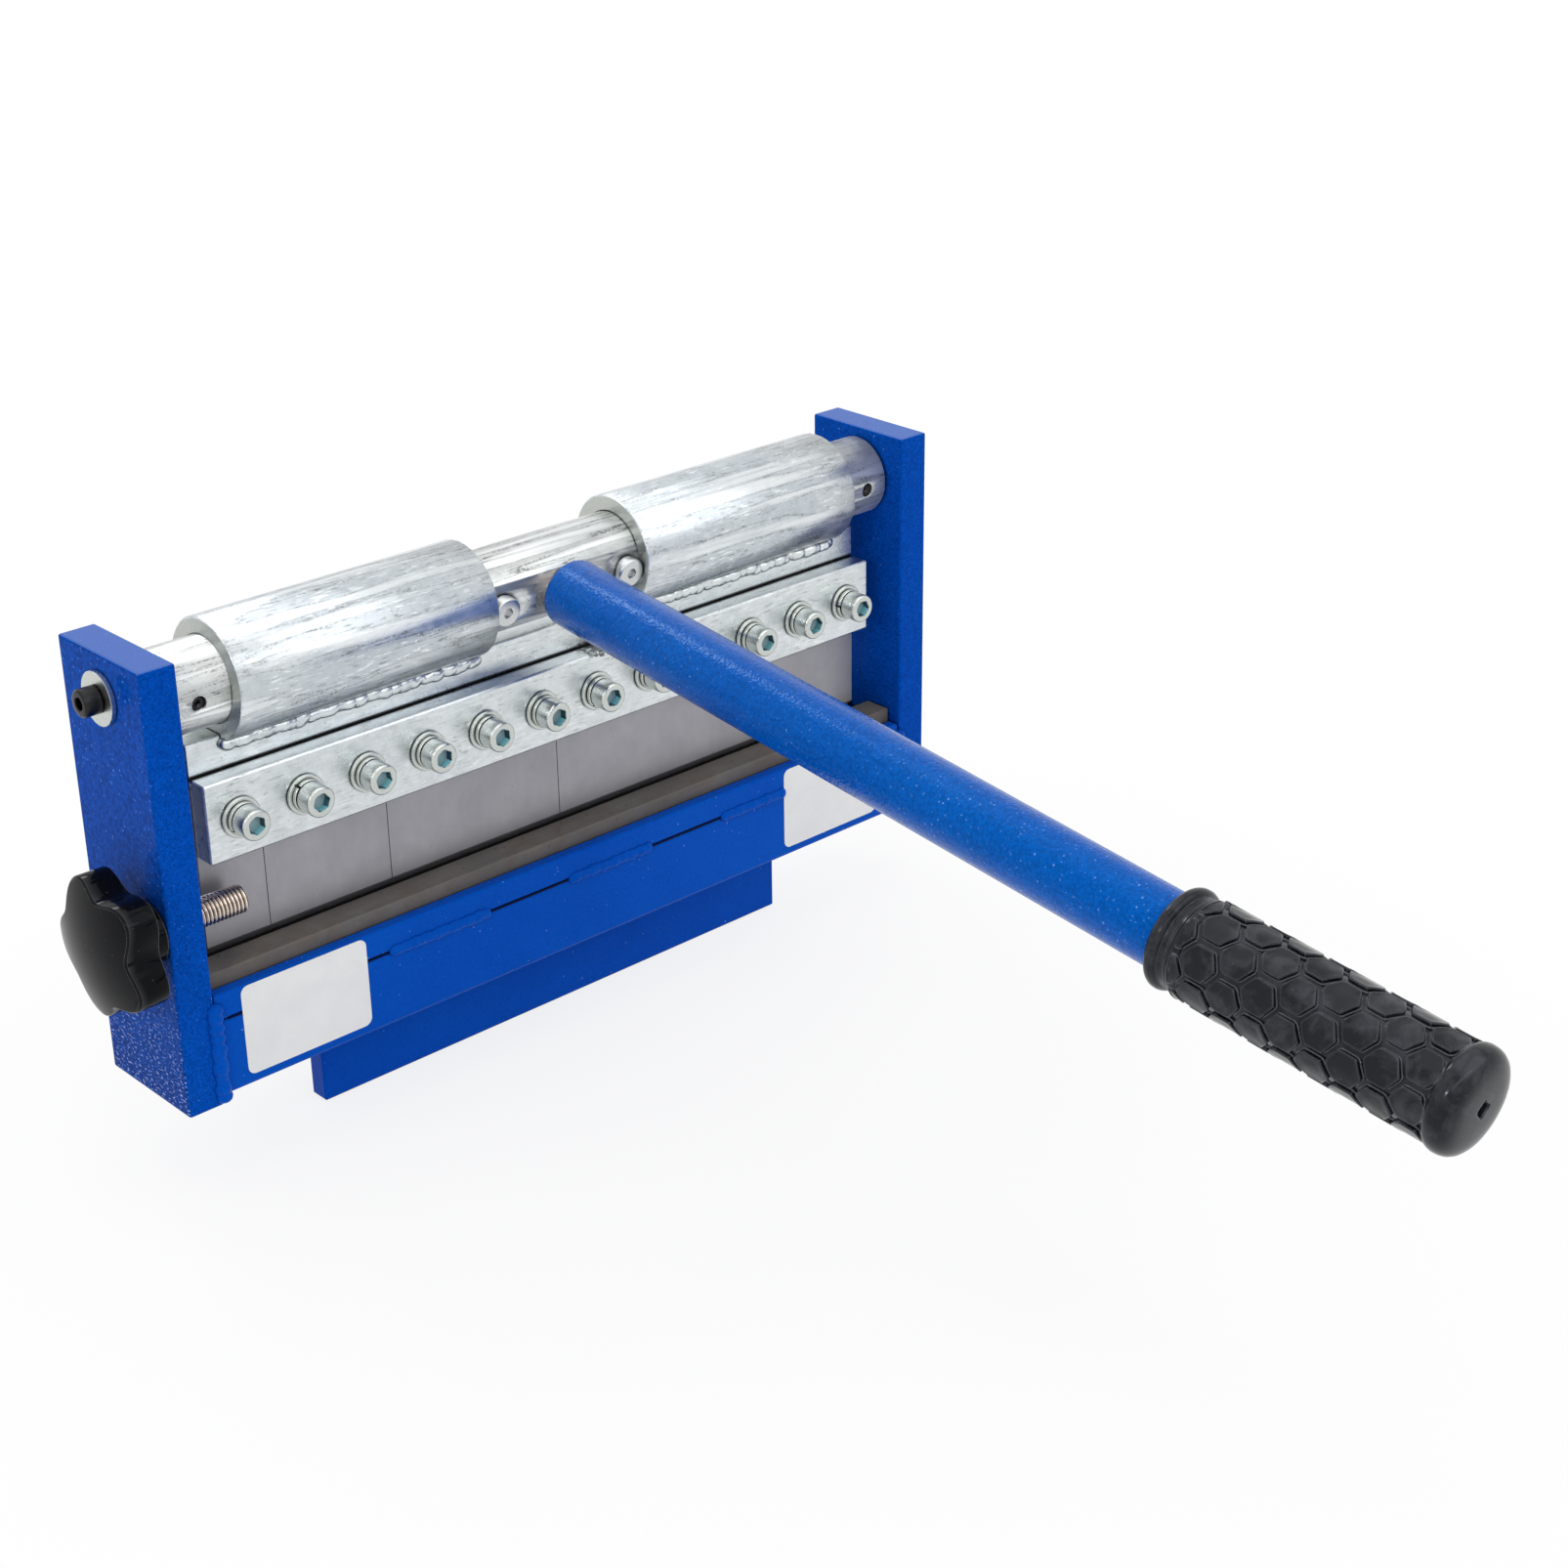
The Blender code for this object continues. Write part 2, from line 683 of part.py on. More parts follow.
def make_grub_screws(black, lever):
    """Set screws whose flat ends meet the journal pins."""
    forward = (SHAFT_Y - MID_Y) * math.cos(GRUB_DROP)
    downward = (SHAFT_Z - PIVOT_Z) * math.sin(GRUB_DROP)
    tip = forward + downward + PIN_DIAMETER / 2 + SEAT_GAP
    head = SHAFT_RADIUS - GRUB_SINK
    profile = stud_profile(GRUB_DIAMETER / 2, tip, head, PIN_EDGE)
    mesh = socket_bolt_mesh(
        "grub_screw", profile, head, GRUB_SOCKET_WIDTH, GRUB_SOCKET_DEPTH, black
    )
    for side, sign in (("left", -1), ("right", 1)):
        at = shaft_point(sign * GRUB_X, GRUB_DROP, 0)
        place(f"{side}_grub_screw", mesh, at, toward(GRUB_DROP), lever)


def make_keeper_screws(zinc, lever):
    """Low-head screws on the shaft, against the sleeves' inner ends."""
    profile = bolt_profile(
        KEEPER_DIAMETER / 2,
        KEEPER_LENGTH,
        KEEPER_HEAD_DIAMETER / 2,
        KEEPER_HEAD_HEIGHT,
        KEEPER_HEAD_EDGE,
    )
    mesh = socket_bolt_mesh(
        "keeper_screw",
        profile,
        KEEPER_HEAD_HEIGHT,
        KEEPER_SOCKET_WIDTH,
        KEEPER_SOCKET_DEPTH,
        zinc,
    )
    seat = SHAFT_RADIUS - KEEPER_SPOT_DEPTH + SEAT_GAP
    for side, sign in (("left", -1), ("right", 1)):
        at = shaft_point(sign * KEEPER_X, KEEPER_DROP, seat)
        place(f"{side}_keeper_screw", mesh, at, toward(KEEPER_DROP), lever)


def make_lever(steel, blue, rubber, lever):
    """The stud in the shaft, the tube on it and the grip on the tube."""
    at = shaft_point(0, LEVER_DROP, 0)
    stud_profile_points = stud_profile(
        LEVER_STUD_DIAMETER / 2,
        SHAFT_RADIUS - LEVER_STUD_SINK,
        TUBE_START + LEVER_STUD_GRIP,
        LEVER_STUD_EDGE,
    )
    stud = turned_mesh("lever_stud", stud_profile_points, MEDIUM_SIDES, steel)
    place("lever_stud", stud, at, toward(LEVER_DROP), lever)
    tube = turned_mesh("lever_tube", tube_profile(), MEDIUM_SIDES, blue)
    place("lever_tube", tube, at, toward(LEVER_DROP), lever)
    make_grip(rubber, at, lever)


def tube_profile():
    """The tube: a rounded nose with a plug bored for the stud, and a wide bore behind it."""
    stud_bore = LEVER_STUD_DIAMETER / 2 + THREAD_GAP
    bore = TUBE_RADIUS - TUBE_WALL
    plug_end = TUBE_START + TUBE_PLUG_LENGTH
    nose = [
        (
            TUBE_RADIUS - TUBE_NOSE_RADIUS * (1 - math.sin(turn)),
            TUBE_START + TUBE_NOSE_RADIUS * (1 - math.cos(turn)),
        )
        for turn in (0, math.pi / 6, math.pi / 3, math.pi / 2)
    ]
    return (
        (stud_bore, TUBE_START),
        *nose,
        (TUBE_RADIUS, TUBE_END),
        (bore, TUBE_END),
        (bore, plug_end),
        (stud_bore, plug_end),
    )


def grip_profile():
    """The grip's moulding without its pads: collar, neck, bead, body, flange and dome."""
    collar_end = GRIP_START + GRIP_COLLAR_WIDTH
    bead_end = BEAD_START + GRIP_BEAD_WIDTH
    collar = GRIP_RADIUS + GRIP_COLLAR_HEIGHT
    bead = GRIP_RADIUS + GRIP_BEAD_HEIGHT
    flange = GRIP_RADIUS + GRIP_FLANGE_HEIGHT
    return (
        (0, GRIP_END - GRIP_END_WALL),
        (GRIP_BORE_RADIUS, GRIP_END - GRIP_END_WALL),
        (GRIP_BORE_RADIUS, GRIP_START),
        (GRIP_RADIUS, GRIP_START),
        (collar, GRIP_START + GRIP_COLLAR_WIDTH / 4),
        (collar, collar_end - GRIP_COLLAR_WIDTH / 4),
        (GRIP_RADIUS, collar_end),
        (GRIP_RADIUS, BEAD_START),
        (bead, BEAD_START + GRIP_BEAD_WIDTH / 4),
        (bead, bead_end - GRIP_BEAD_WIDTH / 4),
        (GRIP_RADIUS, bead_end),
        (GRIP_RADIUS, FLANGE_START - GRIP_FLANGE_HEIGHT),
        (flange, FLANGE_START),
        (flange, FLANGE_END - GRIP_FLANGE_WIDTH / 3),
        (flange - GRIP_FLANGE_HEIGHT, FLANGE_END + GRIP_DOME_HEIGHT / 3),
        (flange / 2, GRIP_END),
        (0, GRIP_END),
    )


def pad_prisms(name, carrier, at):
    """Hexagon prisms around the grip, corners along it, each row turned half a pad."""
    bm = bmesh.new()
    inner = GRIP_RADIUS - GRIP_WALL / 2
    outer = GRIP_RADIUS + PAD_HEIGHT + CUT_OVERRUN
    corner_along = PAD_ROW_PITCH * 2 / 3 - PAD_GROOVE / math.sqrt(3)
    half_across = math.pi * (GRIP_RADIUS + PAD_HEIGHT / 2) / PADS_AROUND - PAD_GROOVE / 2
    corner_across = half_across / math.sin(math.pi / 3)
    size = Matrix.Diagonal((outer - inner, corner_across, corner_along, 1))
    lay = Matrix.Rotation(math.pi / 2, 4, "Y") @ Matrix.Rotation(math.pi / 2, 4, "Z")
    lift = Matrix.Translation(((inner + outer) / 2, 0, 0))
    first = GRIP_START + PAD_START - PAD_ROW_PITCH
    rows = math.ceil((FLANGE_START - first) / PAD_ROW_PITCH) + 1
    for row in range(rows):
        stand = Matrix.Translation((0, 0, first + row * PAD_ROW_PITCH))
        for index in range(PADS_AROUND):
            turn = math.tau * (index + row % 2 / 2) / PADS_AROUND
            round_grip = Matrix.Rotation(turn, 4, "Z")
            bmesh.ops.create_cone(
                bm,
                cap_ends=True,
                segments=6,
                radius1=1,
                radius2=1,
                depth=1,
                matrix=stand @ round_grip @ lift @ size @ lay,
            )
    return place(name, mesh_from(name, bm), at, toward(LEVER_DROP), carrier)


def make_grip(rubber, at, lever):
    """The moulded grip: its pads are prisms trimmed to a round sleeve and joined to the body."""
    turn = toward(LEVER_DROP)
    grip = place(
        "lever_grip",
        turned_mesh("lever_grip", grip_profile(), GRIP_SIDES, rubber),
        at,
        turn,
        lever,
    )
    pad_radius = GRIP_RADIUS + PAD_HEIGHT
    pads_from = BEAD_START + GRIP_BEAD_WIDTH / 2
    pads_to = FLANGE_END - GRIP_FLANGE_WIDTH / 2
    trim_profile = ((0, pads_from), (pad_radius, pads_from), (pad_radius, pads_to), (0, pads_to))
    pads = pad_prisms("grip_pads", lever, at)
    trim = place(
        "grip_pad_trim",
        turned_mesh("grip_pad_trim", trim_profile, GRIP_SIDES),
        at,
        turn,
        lever,
    )
    combine(pads, trim, "INTERSECT")
    combine(grip, pads, "UNION")
    vent = place(
        "grip_vent",
        block_mesh(
            "grip_vent",
            (GRIP_VENT_WIDTH, GRIP_VENT_WIDTH, GRIP_END_WALL + CUT_OVERRUN * 2),
        ),
        shaft_point(0, LEVER_DROP, GRIP_END - GRIP_END_WALL / 2),
        turn,
        lever,
    )
    combine(grip, vent, "DIFFERENCE")


def make_sleeves(zinc, ram):
    """The sleeves that hang on the shaft and carry the ram bar."""
    profile = ring_profile(
        SHAFT_RADIUS + RUNNING_GAP,
        SLEEVE_RADIUS,
        -SLEEVE_LENGTH / 2,
        SLEEVE_LENGTH / 2,
        SLEEVE_EDGE,
    )
    mesh = turned_mesh("sleeve", profile, LARGE_SIDES, zinc)
    for side, sign in (("left", -1), ("right", 1)):
        at = (sign * SLEEVE_MID_X, SHAFT_Y, SHAFT_Z)
        place(f"{side}_sleeve", mesh, at, TO_RIGHT, ram)


def screw_places():
    """The x of each clamp screw."""
    return [(index + 0.5) * SCREW_PITCH - WORK_LENGTH / 2 for index in range(SCREW_COUNT)]


def make_ram_bar(zinc, ram):
    """The bar under the sleeves: a shoulder over the punches and a leg behind them."""
    leg_front = PUNCH_THICKNESS + SEAT_GAP
    outline = (
        (0, SHOULDER_Z),
        (leg_front, SHOULDER_Z),
        (leg_front, CLAMP_FOOT_Z),
        (RAM_THICKNESS, CLAMP_FOOT_Z),
        (RAM_THICKNESS, RAM_TOP_Z),
        (0, RAM_TOP_Z),
    )
    mesh = bar_mesh("ram_bar", outline, WORK_LENGTH, zinc)
    bar = place("ram_bar", mesh, (0, RAM_FRONT_Y, 0), carrier=ram)
    ease_edges(bar, RAM_EDGE)
    saddle_end = SLEEVE_LENGTH / 2 + SEAT_GAP
    saddle_radius = SLEEVE_RADIUS + SEAT_GAP
    profile = (
        (0, -saddle_end),
        (saddle_radius, -saddle_end),
        (saddle_radius, saddle_end),
        (0, saddle_end),
    )
    for side, sign in (("left", -1), ("right", 1)):
        saddle = place(
            f"{side}_saddle",
            turned_mesh("saddle", profile, LARGE_SIDES),
            (sign * SLEEVE_MID_X, SHAFT_Y, SHAFT_Z),
            TO_RIGHT,
            ram,
        )
        combine(bar, saddle, "DIFFERENCE")
    back = RAM_FRONT_Y + RAM_THICKNESS + CUT_OVERRUN
    threads = round_cutter(
        "ram_bar_threads",
        SCREW_DIAMETER / 2 + THREAD_GAP,
        [((x, RAM_FRONT_Y, SCREW_Z), (x, back, SCREW_Z)) for x in screw_places()],
        HOLE_SIDES,
        ram,
    )
    combine(bar, threads, "DIFFERENCE")


def make_clamp_bar(zinc, ram):
    """The flat bar that the screws pull against the punches."""
    size = (WORK_LENGTH, CLAMP_THICKNESS, CLAMP_HEIGHT)
    mid = (0, (CLAMP_FRONT_Y + CLAMP_BACK_Y) / 2, SCREW_Z)
    bar = place("clamp_bar", block_mesh("clamp_bar", size, zinc), mid, carrier=ram)
    ease_edges(bar, CLAMP_EDGE)
    front = CLAMP_FRONT_Y - CUT_OVERRUN
    back = CLAMP_BACK_Y + CUT_OVERRUN
    holes = round_cutter(
        "clamp_bar_holes",
        SCREW_DIAMETER / 2 + THREAD_GAP,
        [((x, front, SCREW_Z), (x, back, SCREW_Z)) for x in screw_places()],
        HOLE_SIDES,
        ram,
    )
    combine(bar, holes, "DIFFERENCE")


def make_punches(steel, ram):
    """The punch segments: a right-angled edge below, and a slot for each screw from the top."""
    half = PUNCH_THICKNESS / 2
    outline = (
        (0, TIP_Z),
        (half, TIP_Z + half),
        (half, PUNCH_TOP_Z),
        (-half, PUNCH_TOP_Z),
        (-half, TIP_Z + half),
    )
    start = -WORK_LENGTH / 2
    for pitches in SEGMENT_PITCHES:
        length = pitches * SCREW_PITCH
        name = f"punch_{round(length / MILLIMETRE)}"
        mesh = bar_mesh(name, outline, length - SEAT_GAP, steel)
        punch = place(name, mesh, (start + length / 2, SHAFT_Y, 0), carrier=ram)
        slots = slot_cutter(f"{name}_slots", start, pitches, ram)
        combine(punch, slots, "DIFFERENCE")
        start += length


def slot_cutter(name, start, count, ram):
    """Round-ended slots, open at the top, one for each screw of a segment."""
    bm = bmesh.new()
    radius = SCREW_DIAMETER / 2 + SLOT_GAP
    top = PUNCH_TOP_Z + CUT_OVERRUN
    depth = PUNCH_THICKNESS + 2 * CUT_OVERRUN
    arc = [math.pi * step / LOBE_SIDES for step in range(LOBE_SIDES + 1)]
    for index in range(count):
        x = start + (index + 0.5) * SCREW_PITCH
        outline = [
            (x + radius * math.cos(turn), SCREW_Z - radius * math.sin(turn))
            for turn in arc
        ]
        outline += [(x - radius, top), (x + radius, top)]
        corners = [bm.verts.new((px, SHAFT_Y - depth / 2, pz)) for px, pz in outline]
        face = bm.faces.new(corners)
        swept = bmesh.ops.extrude_face_region(bm, geom=[face])
        moved = [item for item in swept["geom"] if isinstance(item, bmesh.types.BMVert)]
        bmesh.ops.translate(bm, verts=moved, vec=(0, depth, 0))
    return place(name, mesh_from(name, bm), (0, 0, 0), carrier=ram)


def make_clamp_screws(zinc, ram):
    """Each screw with its flat and spring washer, along the clamp bar."""
    screw = socket_bolt_mesh(
        "clamp_screw",
        bolt_profile(
            SCREW_DIAMETER / 2,
            SCREW_LENGTH,
            SCREW_HEAD_DIAMETER / 2,
            SCREW_HEAD_HEIGHT,
            SCREW_EDGE,
        ),
        SCREW_HEAD_HEIGHT,
        SCREW_SOCKET_WIDTH,
        SCREW_SOCKET_DEPTH,
        zinc,
    )
    bore = SCREW_DIAMETER / 2 + THREAD_GAP
    stack_profile = (
        (bore, 0),
        (FLAT_WASHER_DIAMETER / 2, 0),
        (FLAT_WASHER_DIAMETER / 2, FLAT_WASHER_THICKNESS),
        (SPRING_WASHER_DIAMETER / 2, FLAT_WASHER_THICKNESS),
        (SPRING_WASHER_DIAMETER / 2, STACK_THICKNESS),
        (bore, STACK_THICKNESS),
    )
    stack = turned_mesh("washers", stack_profile, SCREW_SIDES, zinc)
    for index, x in enumerate(screw_places(), 1):
        place(f"clamp_screw_{index:02d}", screw, (x, HEAD_BACK_Y, SCREW_Z), TO_FRONT, ram)
        place(f"washers_{index:02d}", stack, (x, STACK_BACK_Y, SCREW_Z), TO_FRONT, ram)


def star_outline():
    """The knob's lobed rim around its own axis, with a lobe at the lead from the top."""
    count = KNOB_LOBES * LOBE_SIDES
    points = []
    for index in range(count):
        turn = math.tau * index / count
        share = (1 - math.cos(KNOB_LOBES * turn)) / 2
        radius = KNOB_DIAMETER / 2 - KNOB_VALLEY * share**LOBE_FULLNESS
        lead = turn + KNOB_LEAD
        points.append((radius * math.cos(lead), -radius * math.sin(lead)))
    return points


def star_mesh(name):
    """The lobed body: its outline is drawn up from the back and in over the dome."""
    bm = bmesh.new()
    rim = KNOB_DIAMETER / 2
    inset_share = (rim - KNOB_EDGE) / rim
    levels = [
        (inset_share, 0),
        (1, KNOB_EDGE),
        (1, KNOB_RIM_THICKNESS - KNOB_EDGE),
    ]
    for share in DOME_SHARES:
        rise = KNOB_DOME_HEIGHT * math.sqrt(1 - share**2)
        levels.append((inset_share * share, KNOB_RIM_THICKNESS + rise))
    cap = bm.faces.new(
        [bm.verts.new((x * inset_share, y * inset_share, 0)) for x, y in star_outline()]
    )
    scale = inset_share
    height = 0
    for share, level in levels[1:]:
        swept = bmesh.ops.extrude_face_region(bm, geom=[cap])
        if height:
            bmesh.ops.delete(bm, geom=[cap], context="FACES_ONLY")
        cap = next(item for item in swept["geom"] if isinstance(item, bmesh.types.BMFace))
        ratio = share / scale
        bmesh.ops.scale(bm, verts=cap.verts, vec=(ratio, ratio, 1))
        bmesh.ops.translate(bm, verts=cap.verts, vec=(0, 0, level - height))
        scale, height = share, level
    return mesh_from(name, bm)


def make_stop(steel, black, stop):
    """The stop stud through the left plate and the star knob on its outer end."""
    stud_profile_points = stud_profile(
        STOP_RADIUS,
        SEAT_GAP,
        STOP_SINK + SEAT_GAP + PLATE_THICKNESS + STOP_REACH,
        STOP_EDGE,
    )
    knob_at = (-KNOB_SEAT_X, STOP_Y, STOP_Z)
    stud_start = (-(KNOB_SEAT_X + STOP_SINK + SEAT_GAP), STOP_Y, STOP_Z)
    stud = turned_mesh("stop_stud", stud_profile_points, SCREW_SIDES, steel)
    place("stop_stud", stud, stud_start, TO_RIGHT, stop)
    hub_profile = (
        (0, STOP_SINK + SEAT_GAP),
        (STOP_RADIUS + THREAD_GAP, STOP_SINK + SEAT_GAP),
        (STOP_RADIUS + THREAD_GAP, 0),
        (KNOB_HUB_DIAMETER / 2, 0),
        (KNOB_HUB_DIAMETER / 2, KNOB_HUB_LENGTH + KNOB_RIM_THICKNESS - KNOB_EDGE),
        (0, KNOB_HUB_LENGTH + KNOB_RIM_THICKNESS - KNOB_EDGE),
    )
    hub = turned_mesh("star_knob", hub_profile, MEDIUM_SIDES, black)
    knob = place("star_knob", hub, knob_at, TO_LEFT, stop)
    star_at = (-(KNOB_SEAT_X + KNOB_HUB_LENGTH), STOP_Y, STOP_Z)
    star = place("knob_star", star_mesh("knob_star"), star_at, TO_LEFT, stop)
    hollow = round_cutter(
        "knob_insert",
        STOP_RADIUS + THREAD_GAP,
        [
            (
                (-(KNOB_SEAT_X - CUT_OVERRUN), STOP_Y, STOP_Z),
                (-(KNOB_SEAT_X + STOP_SINK + SEAT_GAP), STOP_Y, STOP_Z),
            )
        ],
        SCREW_SIDES,
        stop,
    )
    combine(knob, star, "UNION")
    combine(knob, hollow, "DIFFERENCE")


def main():
    """Model the brake at rest, each moving group under an empty on its axis."""
    clear_scene()
    blue = finish("blue_powder_coat", (0.012, 0.105, 0.47), 0.38, 0.0)
    zinc = finish("zinc_plate", (0.62, 0.64, 0.64), 0.32, 1.0)
    black = finish("blackened_steel", (0.02, 0.02, 0.022), 0.4, 0.8)
    tool = finish("tool_steel", (0.2, 0.2, 0.215), 0.5, 0.9)
    bright = finish("bright_steel", (0.5, 0.5, 0.5), 0.3, 1.0)
    bronze = finish("bushing_bronze", (0.45, 0.3, 0.14), 0.4, 1.0)
    rubber = finish("grip_rubber", (0.018, 0.018, 0.02), 0.5, 0.0)
    plastic = finish("knob_plastic", (0.02, 0.02, 0.022), 0.25, 0.0)
    lever = axis_empty("lever_axis", (0, MID_Y, PIVOT_Z))
    ram = axis_empty("ram_axis", (0, SHAFT_Y, SHAFT_Z), lever)
    stop = axis_empty("stop_axis", (-KNOB_SEAT_X, STOP_Y, STOP_Z))
    make_side_plates(blue)
    make_bushings(bronze)
    make_bed(blue)
    make_die(tool)
    make_shaft(zinc, lever)
    make_pivots(bright, zinc, black, lever)
    make_grub_screws(black, lever)
    make_keeper_screws(zinc, lever)
    make_lever(bright, blue, rubber, lever)
    make_sleeves(zinc, ram)
    make_ram_bar(zinc, ram)
    make_clamp_bar(zinc, ram)
    make_punches(tool, ram)
    make_clamp_screws(zinc, ram)
    make_stop(bright, plastic, stop)


main()
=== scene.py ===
"""The dressed scene of a vise-mounted press brake for bending sheet metal.

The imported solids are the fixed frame. Flat bars and plates keep their solids and
get procedural finishes. Round pieces, screws, the knob, the grip and the threaded
stud are remade finer, and welds and blank labels are added. Lengths are in metres.
"""

from __future__ import annotations

import logging
import math
from dataclasses import dataclass
from enum import Enum
from typing import Any, Iterable, Sequence

import bmesh
import bpy
from mathutils import Matrix, Vector

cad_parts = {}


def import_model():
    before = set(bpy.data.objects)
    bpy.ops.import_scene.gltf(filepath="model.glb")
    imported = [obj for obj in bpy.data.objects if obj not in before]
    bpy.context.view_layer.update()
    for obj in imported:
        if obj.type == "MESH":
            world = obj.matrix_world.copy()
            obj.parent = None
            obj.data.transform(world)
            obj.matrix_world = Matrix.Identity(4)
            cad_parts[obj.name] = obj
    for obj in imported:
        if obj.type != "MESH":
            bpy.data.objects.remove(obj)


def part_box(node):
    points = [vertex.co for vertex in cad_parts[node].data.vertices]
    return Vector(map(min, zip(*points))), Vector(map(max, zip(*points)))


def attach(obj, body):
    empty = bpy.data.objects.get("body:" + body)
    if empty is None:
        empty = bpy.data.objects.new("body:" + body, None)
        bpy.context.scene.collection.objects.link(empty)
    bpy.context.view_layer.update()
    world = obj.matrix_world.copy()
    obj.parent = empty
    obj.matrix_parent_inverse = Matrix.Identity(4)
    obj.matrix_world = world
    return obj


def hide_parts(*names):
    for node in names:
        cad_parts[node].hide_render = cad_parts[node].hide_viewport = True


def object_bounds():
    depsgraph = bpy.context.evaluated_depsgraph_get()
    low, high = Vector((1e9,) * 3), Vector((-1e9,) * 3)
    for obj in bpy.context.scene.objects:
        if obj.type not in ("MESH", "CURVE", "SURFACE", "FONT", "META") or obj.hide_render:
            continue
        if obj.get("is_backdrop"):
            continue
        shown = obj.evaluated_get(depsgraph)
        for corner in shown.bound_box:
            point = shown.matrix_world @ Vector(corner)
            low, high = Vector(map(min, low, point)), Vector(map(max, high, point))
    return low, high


LOG = logging.getLogger("press_brake")
Pair = tuple[float, float]
Triple = tuple[float, float, float]
Ins = dict[int | str, Any]
Socket = bpy.types.NodeSocket
Mesh = bpy.types.Mesh
Material = bpy.types.Material
SHARP_ANGLE = math.radians(35)
SOFT_ANGLE = math.radians(60)
MERGE_DISTANCE = 0.000002
WELD_SEED = 11
SIDES = ("left", "right")


class Slot(Enum):
    """The record's material slots."""

    BLUE = "blue_powder_coat"
    ZINC = "zinc_plate"
    BRIGHT = "bright_steel"
    BLACK = "blackened_steel"
    RUBBER = "grip_rubber"
    PLASTIC = "knob_plastic"


class Body(Enum):
    """The moving groups of the frame."""

    FRAME = "frame"
    LEVER = "lever"
    RAM = "ram"
    STOP = "stop_screw"
    KNOB = "knob"


class Ring(Enum):
    """The outline of one level of a lofted piece, by its number of corners."""

    ROUND = 0
    SQUARE = 4
    HEX = 6


Level = tuple[float, float, Ring, bool]
Point = tuple[float, float, float, float]


class Graph:
    """A node tree with short calls that add and join its nodes."""

    def __init__(self, tree: bpy.types.NodeTree) -> None:
        """Wrap a shader or geometry tree."""
        self.tree = tree

    def feed(self, socket: Socket, value: Any) -> None:
        """Set an input socket, or join it to the output that feeds it; colours are opaque.

        Args:
            socket: the input.
            value: its value, or the output that feeds it.
        """
        if isinstance(value, Socket):
            self.tree.links.new(value, socket)
        elif socket.type == "RGBA":
            socket.default_value = (*value, 1.0)
        else:
            socket.default_value = value

    def add(self, kind: str, ins: Ins | None = None, **settings: Any) -> bpy.types.Node:
        """Add a node.

        Args:
            kind: the node's type name.
            ins: socket name or index to a value, or to the output that feeds it.
            settings: the node's own properties.

        Returns:
            The new node.
        """
        node = self.tree.nodes.new(kind)
        for key, value in settings.items():
            setattr(node, key, value)
        for key, value in (ins or {}).items():
            self.feed(node.inputs[key], value)
        return node

    def out(self, kind: str, ins: Ins | None = None, output: int | str = 0, **settings: Any) -> Socket:
        """Add a node and give one of its outputs."""
        return self.add(kind, ins, **settings).outputs[output]

    def sockets(self, side: str, kinds: dict[str, str]) -> dict[str, str]:
        """Name a group's inputs or outputs.

        Args:
            side: INPUT or OUTPUT.
            kinds: the type of each socket by its name.

        Returns:
            The identifier of each socket by its name.
        """
        idents = {}
        for label, kind in kinds.items():
            made = self.tree.interface.new_socket(label, in_out=side, socket_type=f"NodeSocket{kind}")
            idents[label] = made.identifier
        return idents

    def math(self, operation: str, *values: Any) -> Socket:
        """A math node's result over sockets or numbers."""
        return self.out("ShaderNodeMath", dict(enumerate(values)), operation=operation)

    def times(self, first: Any, second: Any) -> Socket:
        """The product of two values."""
        return self.math("MULTIPLY", first, second)

    def apart(self, first: Any, second: Any) -> Socket:
        """The distance between two values."""
        return self.math("ABSOLUTE", self.math("SUBTRACT", first, second))

    def ramp(self, value: Any, low: float, high: float, start: float = 0.0, end: float = 1.0) -> Socket:
        """Map a value from low..high to start..end, and hold it there."""
        return self.out("ShaderNodeMapRange", {0: value, 1: low, 2: high, 3: start, 4: end})

    def blend(self, share: Any, first: Any, second: Any) -> Socket:
        """Mix two colours by a share."""
        return self.out("ShaderNodeMix", {0: share, 6: first, 7: second}, 2, data_type="RGBA")

    def split(self, vector: Socket) -> Any:
        """The three parts of a vector."""
        return self.add("ShaderNodeSeparateXYZ", {0: vector}).outputs

    def merge(self, *parts: Any) -> Socket:
        """A vector of three parts."""
        return self.out("ShaderNodeCombineXYZ", dict(enumerate(parts)))

    def stretch(self, vector: Socket, share: Any) -> Socket:
        """A vector times a number."""
        return self.out("ShaderNodeVectorMath", {0: vector, "Scale": share}, operation="SCALE")

    def random(self, seed: Any, low: Any, high: Any) -> Socket:
        """A number between two limits, drawn for each point."""
        ins = {2: low, 3: high, "Seed": seed}
        return self.out("FunctionNodeRandomValue", ins, 1, data_type="FLOAT")


def fill_peel(graph: Graph, given: Any) -> Ins:
    """The orange peel of a powder coat: soft cells of one size.

    Args:
        graph: the group's graph.
        given: the group's inputs.

    Returns:
        The group's outputs by name.
    """
    where = {"Vector": given["Vector"], "Scale": given["Scale"], "Smoothness": 0.8}
    cells = graph.out("ShaderNodeTexVoronoi", where, "Distance", feature="SMOOTH_F1")
    broader = graph.times(given["Scale"], 0.55)
    drift = graph.out("ShaderNodeTexNoise", {"Vector": given["Vector"], "Scale": broader, "Detail": 2.0})
    both = graph.math("ADD", graph.math("SUBTRACT", 1.0, cells), drift)
    return {"Height": graph.times(both, 0.5)}


